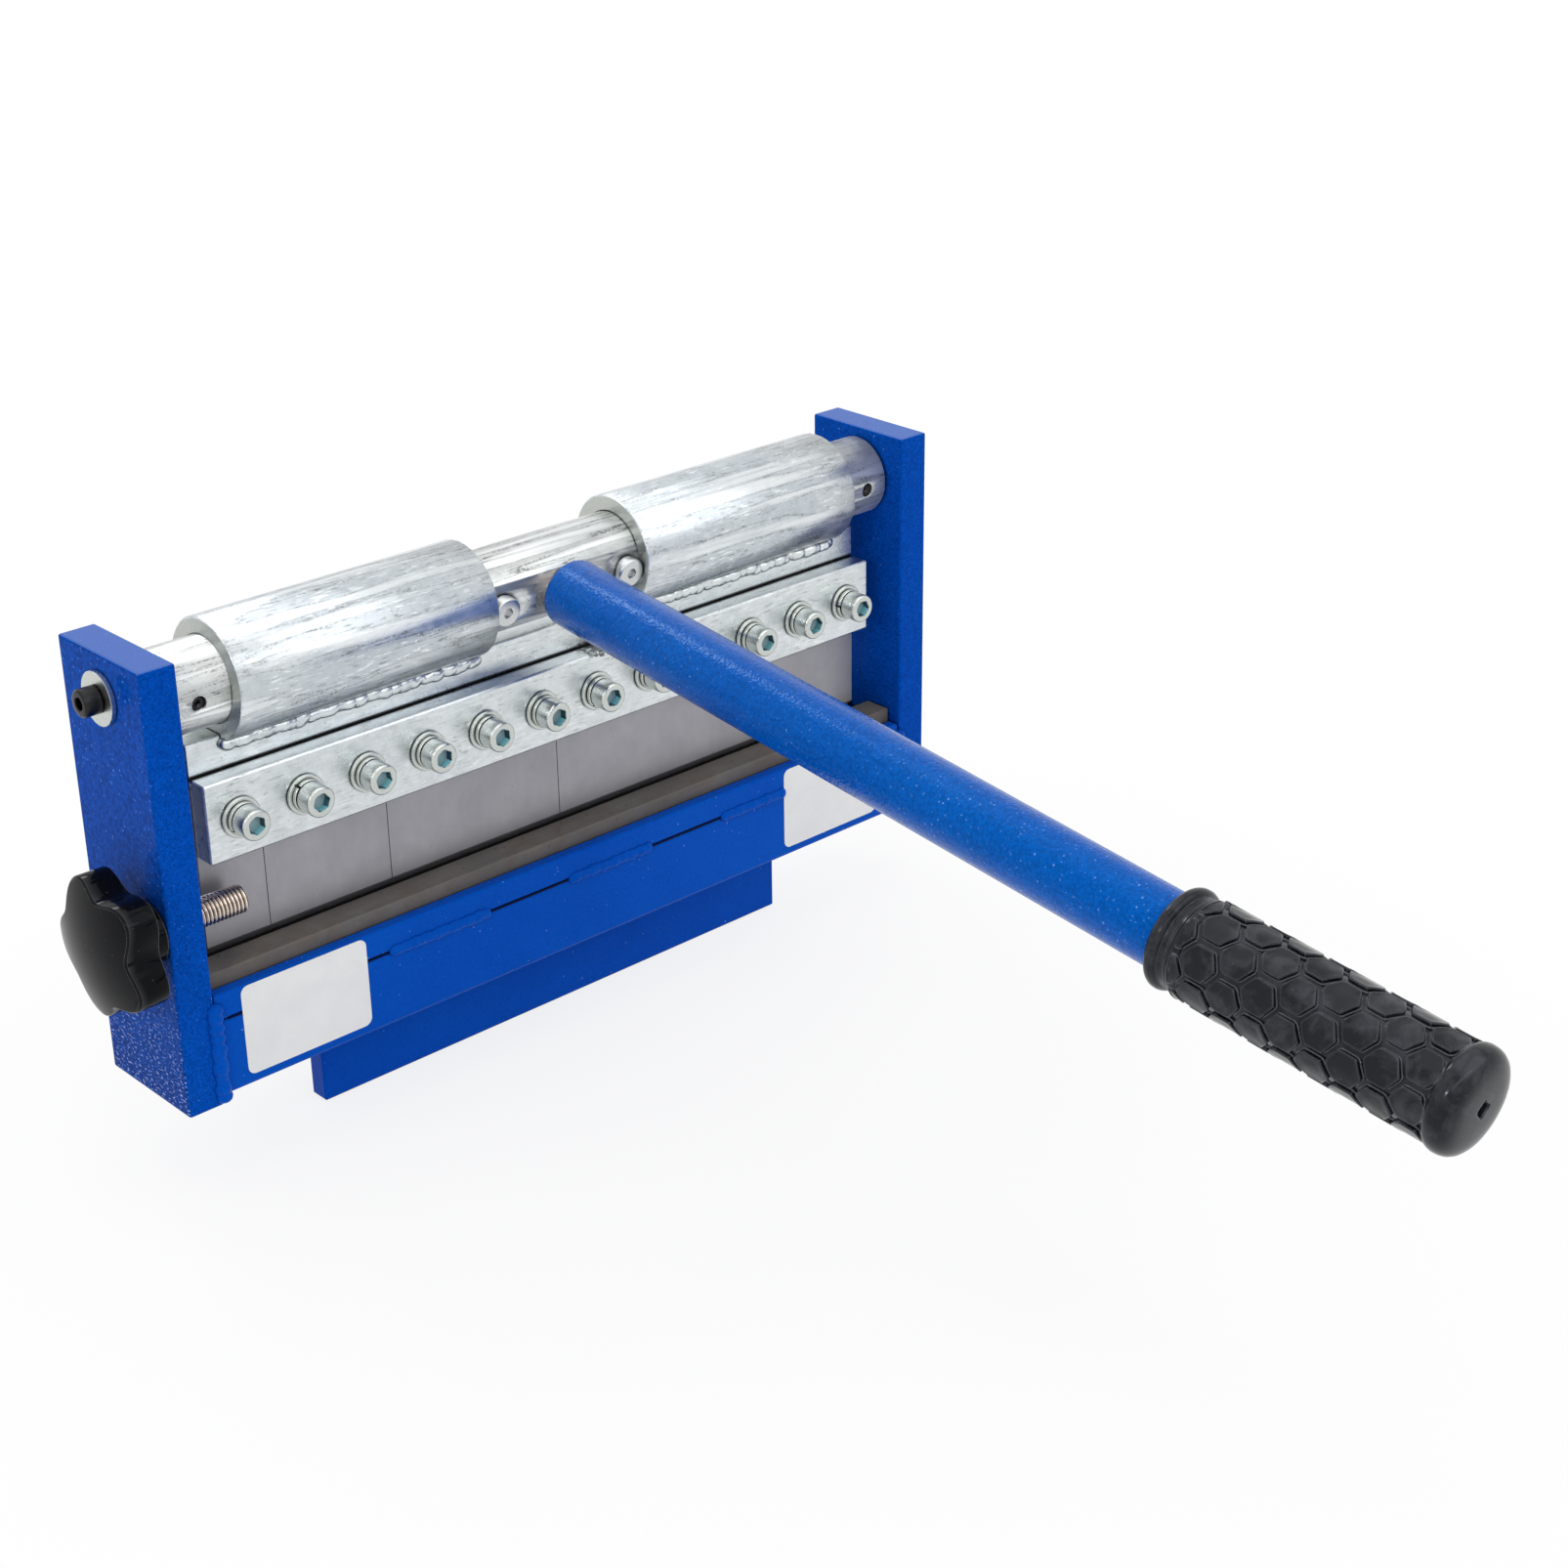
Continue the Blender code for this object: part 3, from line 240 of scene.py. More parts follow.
def fill_specks(graph: Graph, given: Any) -> Ins:
    """Small spots strewn over a surface: pits, dusty flecks and painted glint specks.

    Args:
        graph: the group's graph.
        given: the group's inputs.

    Returns:
        The group's outputs by name.
    """
    where = {"Vector": given["Vector"], "Scale": given["Scale"]}
    cells = graph.add("ShaderNodeTexVoronoi", where).outputs
    pick = graph.add("ShaderNodeSeparateColor", {0: cells["Color"]}).outputs
    chosen = graph.math("LESS_THAN", pick[0], given["Density"])
    spot = graph.math("LESS_THAN", cells["Distance"], graph.times(pick[1], 0.3))
    return {"Mask": graph.times(chosen, spot)}


def fill_streaks(graph: Graph, given: Any) -> Ins:
    """Fine lines along one direction: grinding, drawing and scratches.

    Args:
        graph: the group's graph.
        given: the group's inputs.

    Returns:
        The group's outputs by name.
    """
    where = {"Vector": given["Vector"], "Rotation": given["Turn"], "Scale": given["Stretch"]}
    stretched = graph.out("ShaderNodeMapping", where)
    lines = graph.out("ShaderNodeTexNoise", {"Vector": stretched, "Scale": 1.0, "Detail": 4.0})
    return {
        "Mask": graph.ramp(lines, 0.35, 0.65),
        "Scratch": graph.ramp(lines, 0.59, 0.63),
        "Groove": graph.ramp(lines, 0.4, 0.36),
    }


def fill_clouds(graph: Graph, given: Any) -> Ins:
    """Broad clouds with a finer cloud over them.

    Args:
        graph: the group's graph.
        given: the group's inputs.

    Returns:
        The group's outputs by name.
    """
    detail = {"Detail": 6.0, "Roughness": 0.62, "Distortion": 0.4}
    where = {"Vector": given["Vector"], "Scale": given["Scale"], **detail}
    return {"Mask": graph.ramp(graph.out("ShaderNodeTexNoise", where), 0.32, 0.68)}


def fill_corner(graph: Graph, given: Any) -> Ins:
    """Where a corner is: the rounded normal, and how far it leans from the face's own.

    Args:
        graph: the group's graph.
        given: the group's inputs.

    Returns:
        The group's outputs by name.
    """
    # The mask lays paler edges, partly wear and partly painted highlight.
    rounded = graph.out("ShaderNodeBevel", {"Radius": given["Radius"]}, samples=6)
    own = graph.out("ShaderNodeNewGeometry", output="True Normal")
    lean = graph.out("ShaderNodeVectorMath", {0: rounded, 1: own}, "Value", operation="DOT_PRODUCT")
    return {"Mask": graph.ramp(lean, 0.99, 0.8), "Normal": rounded}


def fill_crevice(graph: Graph, given: Any) -> Ins:
    """Where surfaces meet: painted shade in the corners between pieces.

    Args:
        graph: the group's graph.
        given: the group's inputs.

    Returns:
        The group's outputs by name.
    """
    near = graph.out("ShaderNodeAmbientOcclusion", {"Distance": given["Reach"]}, "AO", samples=6)
    return {"Mask": graph.ramp(near, 0.72, 0.3)}


PLACED = {"Vector": "Vector", "Scale": "Float"}
TURNED = {"Vector": "Vector", "Stretch": "Vector", "Turn": "Vector"}
MASK = {"Mask": "Float"}
GROUPS = {
    "powder_peel": (fill_peel, PLACED, {"Height": "Float"}),
    "surface_specks": (fill_specks, {**PLACED, "Density": "Float"}, MASK),
    "drawn_streaks": (fill_streaks, TURNED, {**MASK, "Scratch": "Float", "Groove": "Float"}),
    "cloud_mottle": (fill_clouds, PLACED, MASK),
    "corner_wear_and_highlight": (fill_corner, {"Radius": "Float"}, {**MASK, "Normal": "Vector"}),
    "crevice_shade": (fill_crevice, {"Reach": "Float"}, MASK),
}


def shader_group(name: str) -> bpy.types.NodeTree:
    """A shader group of the table, built at its first use.

    Args:
        name: its name in the table.

    Returns:
        The group.
    """
    if name in bpy.data.node_groups:
        return bpy.data.node_groups[name]
    fill, inputs, outputs = GROUPS[name]
    graph = Graph(bpy.data.node_groups.new(name, "ShaderNodeTree"))
    graph.sockets("INPUT", inputs)
    graph.sockets("OUTPUT", outputs)
    results = fill(graph, graph.add("NodeGroupInput").outputs)
    graph.add("NodeGroupOutput", results)
    return graph.tree


def scaled(colour: Triple, share: float) -> Triple:
    """A colour made darker or paler, up to full brightness."""
    return tuple(min(1.0, share * part) for part in colour)


class Shader:
    """One material being built around its Principled shader."""

    def __init__(self, name: str) -> None:
        """Start a material.

        Args:
            name: the material's name.
        """
        self.material = bpy.data.materials.new(name)
        self.material.use_nodes = True
        self.graph = Graph(self.material.node_tree)
        self.bsdf = self.material.node_tree.nodes["Principled BSDF"]
        coords = self.graph.add("ShaderNodeTexCoord").outputs
        self.place = coords["Object"]
        self.facing = coords["Normal"]

    def put(self, **values: Any) -> None:
        """Set or feed the shader's sockets, with _ for a space in a name."""
        for key, value in values.items():
            self.graph.feed(self.bsdf.inputs[key.replace("_", " ")], value)

    def group(self, name: str, **values: Any) -> Any:
        """Add a shader group.

        Args:
            name: the group's name in the table.
            values: its inputs; its place is fed with object coordinates.

        Returns:
            The outputs of the group's node.
        """
        if "Vector" in GROUPS[name][1]:
            values["Vector"] = self.place
        return self.graph.add("ShaderNodeGroup", values, node_tree=shader_group(name)).outputs

    def clouds(self, scale: float) -> Socket:
        """A mask of broad clouds."""
        return self.group("cloud_mottle", Scale=scale)["Mask"]

    def specks(self, scale: float, density: float) -> Socket:
        """A mask of strewn spots."""
        return self.group("surface_specks", Scale=scale, Density=density)["Mask"]

    def paint(self, base: Any, *layers: tuple[Any, Any, Triple]) -> Any:
        """Lay colours over a base.

        Args:
            base: the colour so far.
            layers: mask, share and colour of each layer, the lowest first.

        Returns:
            The painted colour.
        """
        for mask, share, colour in layers:
            base = self.graph.blend(self.graph.times(mask, share), base, colour)
        return base

    def shaded(self, base: Any, dark: Triple, reach: float, share: float = 0.8) -> Any:
        """Paint shade: darken a colour where other surfaces are within reach."""
        return self.paint(base, (self.group("crevice_shade", Reach=reach)["Mask"], share, dark))

    def bump(self, height: Any, distance: float, normal: Socket | None = None) -> Socket:
        """A bump of a height over a distance in metres.

        Args:
            height: the heights, from 0 to about 1.
            distance: what a height of 1 stands for.
            normal: the normal that the bump bends.

        Returns:
            The bent normal.
        """
        ins: Ins = {"Height": height, "Distance": distance, "Strength": 1.0}
        if normal is not None:
            ins["Normal"] = normal
        return self.graph.out("ShaderNodeBump", ins)


@dataclass(frozen=True)
class PowderCoat:
    """Glossy blue powder coat with painted glint specks, painted edge highlights and painted shade in its
    skin's low cells; a coarse one has a rougher skin on faces across the x axis and a painted sheen on
    faces that look up.
    """

    name: str
    peel: float = 1400.0
    depth: float = 0.00004
    coarse: float = 0.0
    coarse_depth: float = 0.00005
    painted_glints: float = 0.0
    grain: float = 0.15
    creased_below: float = 0.09
    crown: float = 0.6
    painted_top_sheen_colour: Triple = (0.16, 0.26, 0.62)
    shine: float = 0.06
    tint: Triple = (0.1, 0.35, 1.0)
    edge: float = 0.0007
    cloud: float = 14.0
    spots: float = 650.0
    colour: Triple = (0.001, 0.072, 0.47)
    light: Triple = (0.003, 0.105, 0.58)

    def build(self) -> Material:
        """Build the powder coat's material.

        Returns:
            The material.
        """
        made = Shader(self.name)
        graph = made.graph
        height = made.group("powder_peel", Scale=self.peel)["Height"]
        tone, distance = height, self.depth
        facing = graph.split(made.facing)
        where = graph.split(made.place)
        if self.coarse:
            rough = made.group("powder_peel", Scale=self.coarse)["Height"]
            outward = graph.times(facing[0], graph.math("SIGN", where[0]))
            side = graph.ramp(outward, 0.6, 0.9)
            fine_part = graph.times(height, self.depth / self.coarse_depth)
            height = graph.math("ADD", fine_part, graph.times(rough, side))
            tone = graph.out("ShaderNodeMix", {0: side, 2: tone, 3: rough})
            distance = self.coarse_depth
        clouds = made.clouds(self.cloud)
        corner = made.group("corner_wear_and_highlight", Radius=self.edge)
        # Painted shade: the skin's low cells are darkened by the grain share.
        shade = graph.ramp(tone, 0.62, 0.4)
        base = made.paint(
            self.colour, (clouds, 0.5, self.light), (shade, self.grain, scaled(self.colour, 0.3))
        )
        # Painted sheen: faces that look up are paler, as though lit from above.
        if self.coarse:
            upward = graph.ramp(facing[2], 0.8, 0.95)
            base = made.paint(base, (upward, self.crown, self.painted_top_sheen_colour))
        # Painted glint specks on the peel's high points, and a painted highlight on the edges.
        glint_mask = graph.times(made.specks(self.spots, self.painted_glints), graph.ramp(tone, 0.45, 0.65))
        base = made.paint(
            base, (corner["Mask"], 0.5, self.light), (glint_mask, clouds, (0.3, 0.45, 0.85))
        )
        # On the coarse skin low down, the creases' hollows are darkened as painted shade, and pale
        # strokes along them are painted glint lines.
        if self.coarse:
            low = graph.times(graph.ramp(where[2], self.creased_below, 0.0), side)
            creases = made.group(
                "drawn_streaks", Stretch=(400.0, 500.0, 1100.0), Turn=(0.5, 0.0, 0.0)
            )
            crease_shade = graph.math("SUBTRACT", 1.0, creases["Mask"])
            base = made.paint(
                base,
                (crease_shade, low, scaled(self.colour, 0.25)),
                (creases["Scratch"], low, (0.5, 0.56, 0.95)),
            )
        made.put(
            Base_Color=made.shaded(base, scaled(self.colour, 0.12), 0.002),
            Roughness=graph.ramp(clouds, 0.0, 1.0, 0.16, 0.26),
            Specular_IOR_Level=self.shine,
            Specular_Tint=self.tint,
            Normal=made.bump(height, distance, corner["Normal"]),
        )
        return made.material


@dataclass(frozen=True)
class ZincPlate:
    """Bright zinc over turned or drawn steel, clouded, scratched and pitted, with painted edge highlights
    and, on round pieces, painted reflections along the axis.
    """

    name: str
    stretch: Triple = (60.0, 900.0, 900.0)
    cool: Triple = (0.58, 0.62, 0.64)
    warm: Triple = (0.68, 0.71, 0.71)
    dark: Triple = (0.14, 0.145, 0.15)
    rough: Pair = (0.26, 0.4)
    drawn: float = 0.18
    mottle: float = 0.5
    scuffed: float = 0.5
    metallic: float = 1.0
    turned_end: Triple = (0.5, 0.52, 0.47)
    reflection_bands: float = 0.0
    grime: Triple | None = None
    edge: float = 0.0005

    def build(self) -> Material:
        """Build the zinc's material.

        Returns:
            The material.
        """
        made = Shader(self.name)
        graph = made.graph
        clouds, patches = made.clouds(38.0), made.clouds(190.0)
        lines = made.group("drawn_streaks", Stretch=self.stretch)["Mask"]
        scuffs = made.group("drawn_streaks", Stretch=(160.0, 900.0, 900.0), Turn=(0.3, 0.5, 0.7))
        spread = graph.ramp(clouds, 0.2, 0.7, 0.1, self.scuffed)
        corner = made.group("corner_wear_and_highlight", Radius=self.edge)
        facing = graph.split(made.facing)
        base = made.paint(
            graph.blend(clouds, self.cool, self.warm),
            (lines, self.drawn, scaled(self.cool, 0.6)),
            (scuffs["Scratch"], spread, (0.95, 0.97, 1.0)),
            (scuffs["Groove"], spread, self.dark),
            (patches, self.mottle, scaled(self.cool, 1.45)),
            (made.specks(620.0, 0.14), 0.4, self.dark),
            (graph.ramp(graph.math("ABSOLUTE", facing[0]), 0.7, 0.9), 0.8, self.turned_end),
        )
        # Painted reflections: pale stripes and dark lines along round pieces.
        if self.reflection_bands:
            base = self.paint_reflections(made, base, facing)
        # Painted highlight on the edges.
        base = made.paint(base, (corner["Mask"], 0.6, (0.78, 0.8, 0.8)))
        if self.grime:
            base = self.soiled(made, base, self.grime)
        grain = made.group("powder_peel", Scale=1300.0)["Height"]
        height = graph.math("ADD", graph.math("ADD", patches, lines), graph.times(grain, 2.5))
        made.put(
            Base_Color=made.shaded(base, (0.05, 0.055, 0.06), 0.0016),
            Metallic=self.metallic,
            Roughness=graph.ramp(graph.times(clouds, patches), 0.0, 1.0, *self.rough),
            Normal=made.bump(height, 0.00002, corner["Normal"]),
        )
        return made.material

    def paint_reflections(self, made: Shader, base: Any, facing: Any) -> Socket:
        """Paint reflections along a round piece: pale stripes and broken dark lines.

        Args:
            made: the material being built.
            base: the colour so far.
            facing: the parts of the object-space normal.

        Returns:
            The colour with its painted reflections.
        """
        graph = made.graph
        along = graph.split(made.place)[0]
        parts = [graph.times(part, by) for part, by in ((along, 9.0), (facing[1], 4.6), (facing[2], 4.6))]
        wave = graph.out("ShaderNodeTexNoise", {"Vector": graph.merge(*parts), "Scale": 1.0})
        line = graph.times(graph.ramp(graph.apart(wave, 0.49), 0.03, 0.0), made.clouds(800.0))
        return made.paint(
            base,
            (graph.ramp(wave, 0.5, 0.62), self.reflection_bands, (0.92, 0.94, 0.95)),
            (graph.ramp(line, 0.2, 0.6), self.reflection_bands, self.dark),
        )

    def soiled(self, made: Shader, base: Any, spot: Triple) -> Socket:
        """Darken the seam behind the clamp bar's top, with a smudge where oil has run.

        Args:
            made: the material being built.
            base: the clean colour.
            spot: the smudge's middle along x, and the seam's height and place in y.

        Returns:
            The soiled colour.
        """
        graph = made.graph
        where = graph.split(made.place)
        along, above, behind = (graph.apart(where[axis], at) for axis, at in zip((0, 2, 1), spot))
        line = graph.times(graph.ramp(above, 0.0014, 0.0007), graph.ramp(behind, 0.0024, 0.0012))
        smudge = graph.times(graph.ramp(along, 0.02, 0.004), graph.ramp(above, 0.0035, 0.0))
        smudge = graph.times(smudge, graph.ramp(behind, 0.014, 0.01))
        smudge = graph.ramp(graph.times(smudge, made.clouds(420.0)), 0.1, 0.2)
        return made.paint(base, (graph.math("MAXIMUM", line, smudge), 0.85, (0.02, 0.02, 0.022)))


@dataclass(frozen=True)
class ToolSteel:
    """Ground or scaled tool steel, with specks and faint rust, and painted shadow on the slopes of a V
    groove.
    """

    name: str
    colour: Triple
    second: Triple
    rust: float
    rough: Pair
    stretch: Triple
    metallic: float = 0.7
    drawn: float = 0.1
    wear_and_highlight: float = 0.4
    edge: float = 0.0004
    painted_groove_shadow: bool = False
    groove_at: float = 0.005
    groove_half: float = 0.013

    def build(self) -> Material:
        """Build the steel's material.

        Returns:
            The material.
        """
        made = Shader(self.name)
        graph = made.graph
        clouds, stains = made.clouds(26.0), made.clouds(75.0)
        lines = made.group("drawn_streaks", Stretch=self.stretch)["Mask"]
        corner = made.group("corner_wear_and_highlight", Radius=self.edge)
        # Paler edges here are partly wear and partly painted highlight.
        base = made.paint(
            graph.blend(clouds, self.colour, self.second),
            (lines, self.drawn, scaled(self.second, 1.5)),
            (graph.times(stains, clouds), self.rust, (0.11, 0.055, 0.028)),
            (made.specks(520.0, 0.1), 0.6, (0.012, 0.012, 0.013)),
            (corner["Mask"], self.wear_and_highlight, (0.3, 0.3, 0.31)),
        )
        # Painted shadow: the sloped faces of the die's V groove go near black.
        if self.painted_groove_shadow:
            facing = graph.split(made.facing)
            sloped = graph.math("MINIMUM", facing[2], graph.math("ABSOLUTE", facing[1]))
            away = graph.apart(graph.split(made.place)[1], self.groove_at)
            within = graph.ramp(away, self.groove_half, self.groove_half - 0.001)
            base = made.paint(base, (graph.ramp(sloped, 0.2, 0.4), within, (0.004, 0.004, 0.004)))
        made.put(
            Base_Color=made.shaded(base, (0.01, 0.01, 0.01), 0.001),
            Metallic=self.metallic,
            Specular_IOR_Level=0.15,
            Roughness=graph.ramp(stains, 0.0, 1.0, *self.rough),
            Normal=made.bump(lines, 0.00001, corner["Normal"]),
        )
        return made.material


@dataclass(frozen=True)
class PlainMetal:
    """A turned metal with faint lines round it, a painted highlight on its edges, and painted light and
    shade in its sockets and thread roots.
    """

    name: str
    colour: Triple
    shaded_recess: Triple
    rough: Pair
    lit_recess: Triple = (0.03, 0.03, 0.03)
    floor: Triple = (0.02, 0.02, 0.02)
    recess_metal: float = 1.0
    edge: float = 0.0003
    stretch: Triple = (900.0, 120.0, 120.0)

    def build(self) -> Material:
        """Build the metal's material.

        Returns:
            The material.
        """
        made = Shader(self.name)
        graph = made.graph
        lines = made.group("drawn_streaks", Stretch=self.stretch)["Mask"]
        clouds = made.clouds(120.0)
        inside = graph.out("ShaderNodeAttribute", output="Fac", attribute_name="recess")
        corner = made.group("corner_wear_and_highlight", Radius=self.edge)
        # The paler edges are a painted highlight.
        base = made.paint(
            self.colour,
            (lines, 0.2, scaled(self.colour, 0.7)),
            (made.specks(900.0, 0.22), 0.4, scaled(self.colour, 0.35)),
            (corner["Mask"], 0.5, scaled(self.colour, 1.35)),
        )
        base = made.shaded(base, scaled(self.colour, 0.15), 0.0012)
        # Painted light and shade in sockets and thread roots: walls facing up and to -x take the lighter
        # colour, other walls the darker one, floors the floor colour.
        facing = graph.split(made.facing)
        upward = graph.math("SUBTRACT", facing[2], graph.times(facing[0], 0.7))
        level = graph.ramp(graph.math("ABSOLUTE", facing[1]), 0.8, 0.95)
        wall = graph.blend(graph.ramp(upward, 0.98, 1.12), self.shaded_recess, self.lit_recess)
        made.put(
            Base_Color=graph.blend(inside, base, graph.blend(level, wall, self.floor)),
            Metallic=graph.ramp(inside, 0.0, 1.0, 1.0, self.recess_metal),
            Roughness=graph.ramp(clouds, 0.0, 1.0, *self.rough),
            Normal=made.bump(clouds, 0.00001, corner["Normal"]),
        )
        return made.material


@dataclass(frozen=True)
class Moulded:
    """Moulded plastic or rubber, with pale cloudy patches that are partly dusty and partly painted sheen,
    and a paler edge that is partly wear and partly painted highlight.
    """

    name: str
    colour: Triple
    wear_and_highlight: Triple
    rough: Pair
    grain: float
    grain_depth: float
    edge: float
    dust_and_sheen: float
    shine: float
    cloud: float = 60.0

    def build(self) -> Material:
        """Build the moulding's material.

        Returns:
            The material.
        """
        made = Shader(self.name)
        graph = made.graph
        skin = made.group("powder_peel", Scale=self.grain)["Height"]
        clouds = made.clouds(self.cloud)
        corner = made.group("corner_wear_and_highlight", Radius=self.edge)
        # Pale cloudy patches, partly dusty and partly painted sheen.
        base = made.paint(self.colour, (graph.ramp(clouds, 0.45, 0.9), self.dust_and_sheen, self.wear_and_highlight))
        base = made.shaded(base, (0.001, 0.001, 0.001), 0.0016, 0.9)
        dots = made.specks(700.0, 0.08)
        # Paler edges, partly wear and partly painted highlight.
        made.put(
            Base_Color=made.paint(
                base, (corner["Mask"], 0.8, self.wear_and_highlight), (dots, 0.25, (0.12, 0.12, 0.12))
            ),
            Roughness=graph.ramp(clouds, 0.0, 1.0, *self.rough),
            Specular_IOR_Level=self.shine,
            Specular_Tint=(0.84, 0.89, 1.0),
            Normal=made.bump(skin, self.grain_depth, corner["Normal"]),
        )
        return made.material


@dataclass(frozen=True)
class Label:
    """Blank white film with a faintly creased skin."""

    name: str = "blank_label_film"

    def build(self) -> Material:
        """Build the film's material.

        Returns:
            The material.
        """
        made = Shader(self.name)
        clouds = made.clouds(55.0)
        made.put(
            Base_Color=made.graph.blend(clouds, (0.77, 0.775, 0.78), (0.84, 0.84, 0.84)),
            Roughness=made.graph.ramp(clouds, 0.0, 1.0, 0.35, 0.5),
            Normal=made.bump(clouds, 0.00004),
        )
        return made.material


class Finishes:
    """Every finish of the brake, built once."""

    def __init__(self) -> None:
        """Build the materials."""
        self.plate = PowderCoat(
            "plate_powder_coat", coarse=620.0, painted_glints=0.35, grain=0.5, shine=0.02
        ).build()
        self.bed = PowderCoat("bed_powder_coat", peel=1000.0, painted_glints=0.04).build()
        self.tube = PowderCoat(
            "tube_powder_coat", peel=900.0, depth=0.00026, painted_glints=0.8, grain=0.35, shine=0.22,
            tint=(0.03, 0.5, 1.0), colour=(0.0005, 0.1, 0.5), light=(0.002, 0.14, 0.6),
        ).build()
        # Dark strips of painted shadow for the seams under the rails.
        self.seam = PowderCoat(
            "seam_shadow", colour=(0.001, 0.004, 0.03), light=(0.002, 0.008, 0.06), shine=0.05
        ).build()
        self.sleeve = ZincPlate(
            "sleeve_zinc", reflection_bands=0.6, scuffed=0.8, metallic=0.9,
            cool=(0.46, 0.505, 0.54), warm=(0.58, 0.615, 0.63),
        ).build()
        self.shaft = ZincPlate(
            "shaft_zinc", stretch=(14.0, 260.0, 260.0), cool=(0.5, 0.525, 0.53),
            warm=(0.68, 0.7, 0.65), rough=(0.3, 0.42), drawn=0.6, reflection_bands=0.85, scuffed=0.2,
            metallic=0.7,
        ).build()
        spot = (0.028, 0.14815, -0.0036)
        self.ram = ZincPlate("ram_zinc", stretch=(30.0, 500.0, 500.0), grime=spot).build()
        self.clamp = ZincPlate("clamp_zinc", grime=spot).build()
        self.screw = PlainMetal(
            "screw_zinc", (0.6, 0.63, 0.605), (0.008, 0.05, 0.07), (0.22, 0.34),
            lit_recess=(0.24, 0.62, 0.7), floor=(0.3, 0.45, 0.49), recess_metal=0.0,
        ).build()
        self.keeper = PlainMetal(
            "keeper_zinc", (0.62, 0.64, 0.64), (0.2, 0.21, 0.21), (0.24, 0.4),
            lit_recess=(0.8, 0.82, 0.82), floor=(0.7, 0.72, 0.72), recess_metal=0.3,
        ).build()
        self.punch = ToolSteel(
            "punch_steel", (0.31, 0.31, 0.335), (0.375, 0.372, 0.4), 0.05, (0.42, 0.52),
            (300.0, 120.0, 120.0), drawn=0.06,
        ).build()
        self.die = ToolSteel(
            "die_steel", (0.105, 0.102, 0.098), (0.17, 0.163, 0.152), 0.5, (0.5, 0.62),
            (40.0, 300.0, 300.0), metallic=0.0, wear_and_highlight=0.0, painted_groove_shadow=True,
        ).build()
        self.bright = PlainMetal(
            "stud_steel", (0.95, 0.84, 0.74), (0.06, 0.035, 0.025), (0.2, 0.3), (0.1, 0.06, 0.04)
        ).build()
        self.black = PlainMetal(
            "bolt_black", (0.03, 0.03, 0.032), (0.006, 0.006, 0.006), (0.25, 0.36)
        ).build()
        self.bronze = PlainMetal(
            "bearing_bronze", (0.45, 0.3, 0.14), (0.1, 0.06, 0.03), (0.3, 0.45)
        ).build()
        self.rubber = Moulded(
            "grip_black_rubber", (0.0035, 0.0039, 0.0054), (0.2, 0.21, 0.245), (0.1, 0.2),
            grain=1400.0, grain_depth=0.00002, edge=0.0009, dust_and_sheen=0.14, shine=0.28, cloud=85.0,
        ).build()
        self.plastic = Moulded(
            "knob_black_plastic", (0.003, 0.003, 0.0035), (0.4, 0.4, 0.41), (0.06, 0.11),
            grain=1200.0, grain_depth=0.000005, edge=0.0008, dust_and_sheen=0.0, shine=0.09,
        ).build()
        self.label = Label().build()


def link(obj: bpy.types.Object) -> bpy.types.Object:
    """Put an object in the scene."""
    bpy.context.scene.collection.objects.link(obj)
    return obj


def settle(
    bm: bmesh.types.BMesh, name: str, angle: float = SHARP_ANGLE, outward: bool = True
) -> Mesh:
    """Turn a bmesh into a mesh with smooth rounds.

    Args:
        bm: the shape, which is freed.
        name: the mesh's name.
        angle: the least corner that stays sharp.
        outward: turn every face to the outside first.

    Returns:
        The mesh.
    """
    if outward:
        bmesh.ops.recalc_face_normals(bm, faces=bm.faces)
    mesh = bpy.data.meshes.new(name)
    bm.to_mesh(mesh)
    bm.free()
    mesh.shade_smooth()
    mesh.set_sharp_from_angle(angle=angle)
    return mesh


def ringed(
    name: str,
    rings: Sequence[Sequence[Point]],
    angle: float = SHARP_ANGLE,
    closed: bool = False,
) -> Mesh:
    """Join rings of points into a solid, with a cap on each full ring at an end.

    Args:
        name: the mesh's name.
        rings: x, y, z and recess of each ring's points; a ring may be a single point.
        angle: the least corner that stays sharp.
        closed: join the last ring to the first in place of the caps, as in a washer.

    Returns:
        The mesh, with a "recess" attribute on its points.
    """
    bm = bmesh.new()
    layer = bm.verts.layers.float.new("recess")
    made = []
    for ring in rings:
        made.append([bm.verts.new(point[:3]) for point in ring])
        for vert, point in zip(made[-1], ring):
            vert[layer] = point[3]
    sides = max(len(ring) for ring in made)
    for low, high in zip(made, made[1:] + made[:1] if closed else made[1:]):
        for index in range(sides):
            after = (index + 1) % sides
            corners = [low[index % len(low)], low[after % len(low)]]
            corners += [high[after % len(high)], high[index % len(high)]]
            bm.faces.new(list(dict.fromkeys(corners)))
    for ring in (made[0], made[-1]):
        if len(ring) > 1 and not closed:
            bm.faces.new(ring)
    return settle(bm, name, angle)


def ring_point(shape: Ring, radius: float, turn: float) -> Pair:
    """A point of a ring's outline at a turn about its axis.

    Args:
        shape: the outline.
        radius: the radius, or half the width across the flats.
        turn: the turn about the axis.

    Returns:
        The point's x and y.
    """
    if shape is not Ring.ROUND:
        part = math.tau / shape.value
        radius /= math.cos((turn % part) - part / 2)
    return radius * math.cos(turn), radius * math.sin(turn)


def levels(points: Iterable[Pair], shape: Ring = Ring.ROUND, recess: bool = False) -> list[Level]:
    """Levels of one outline from pairs of radius and height."""
    return [(radius, height, shape, recess) for radius, height in points]


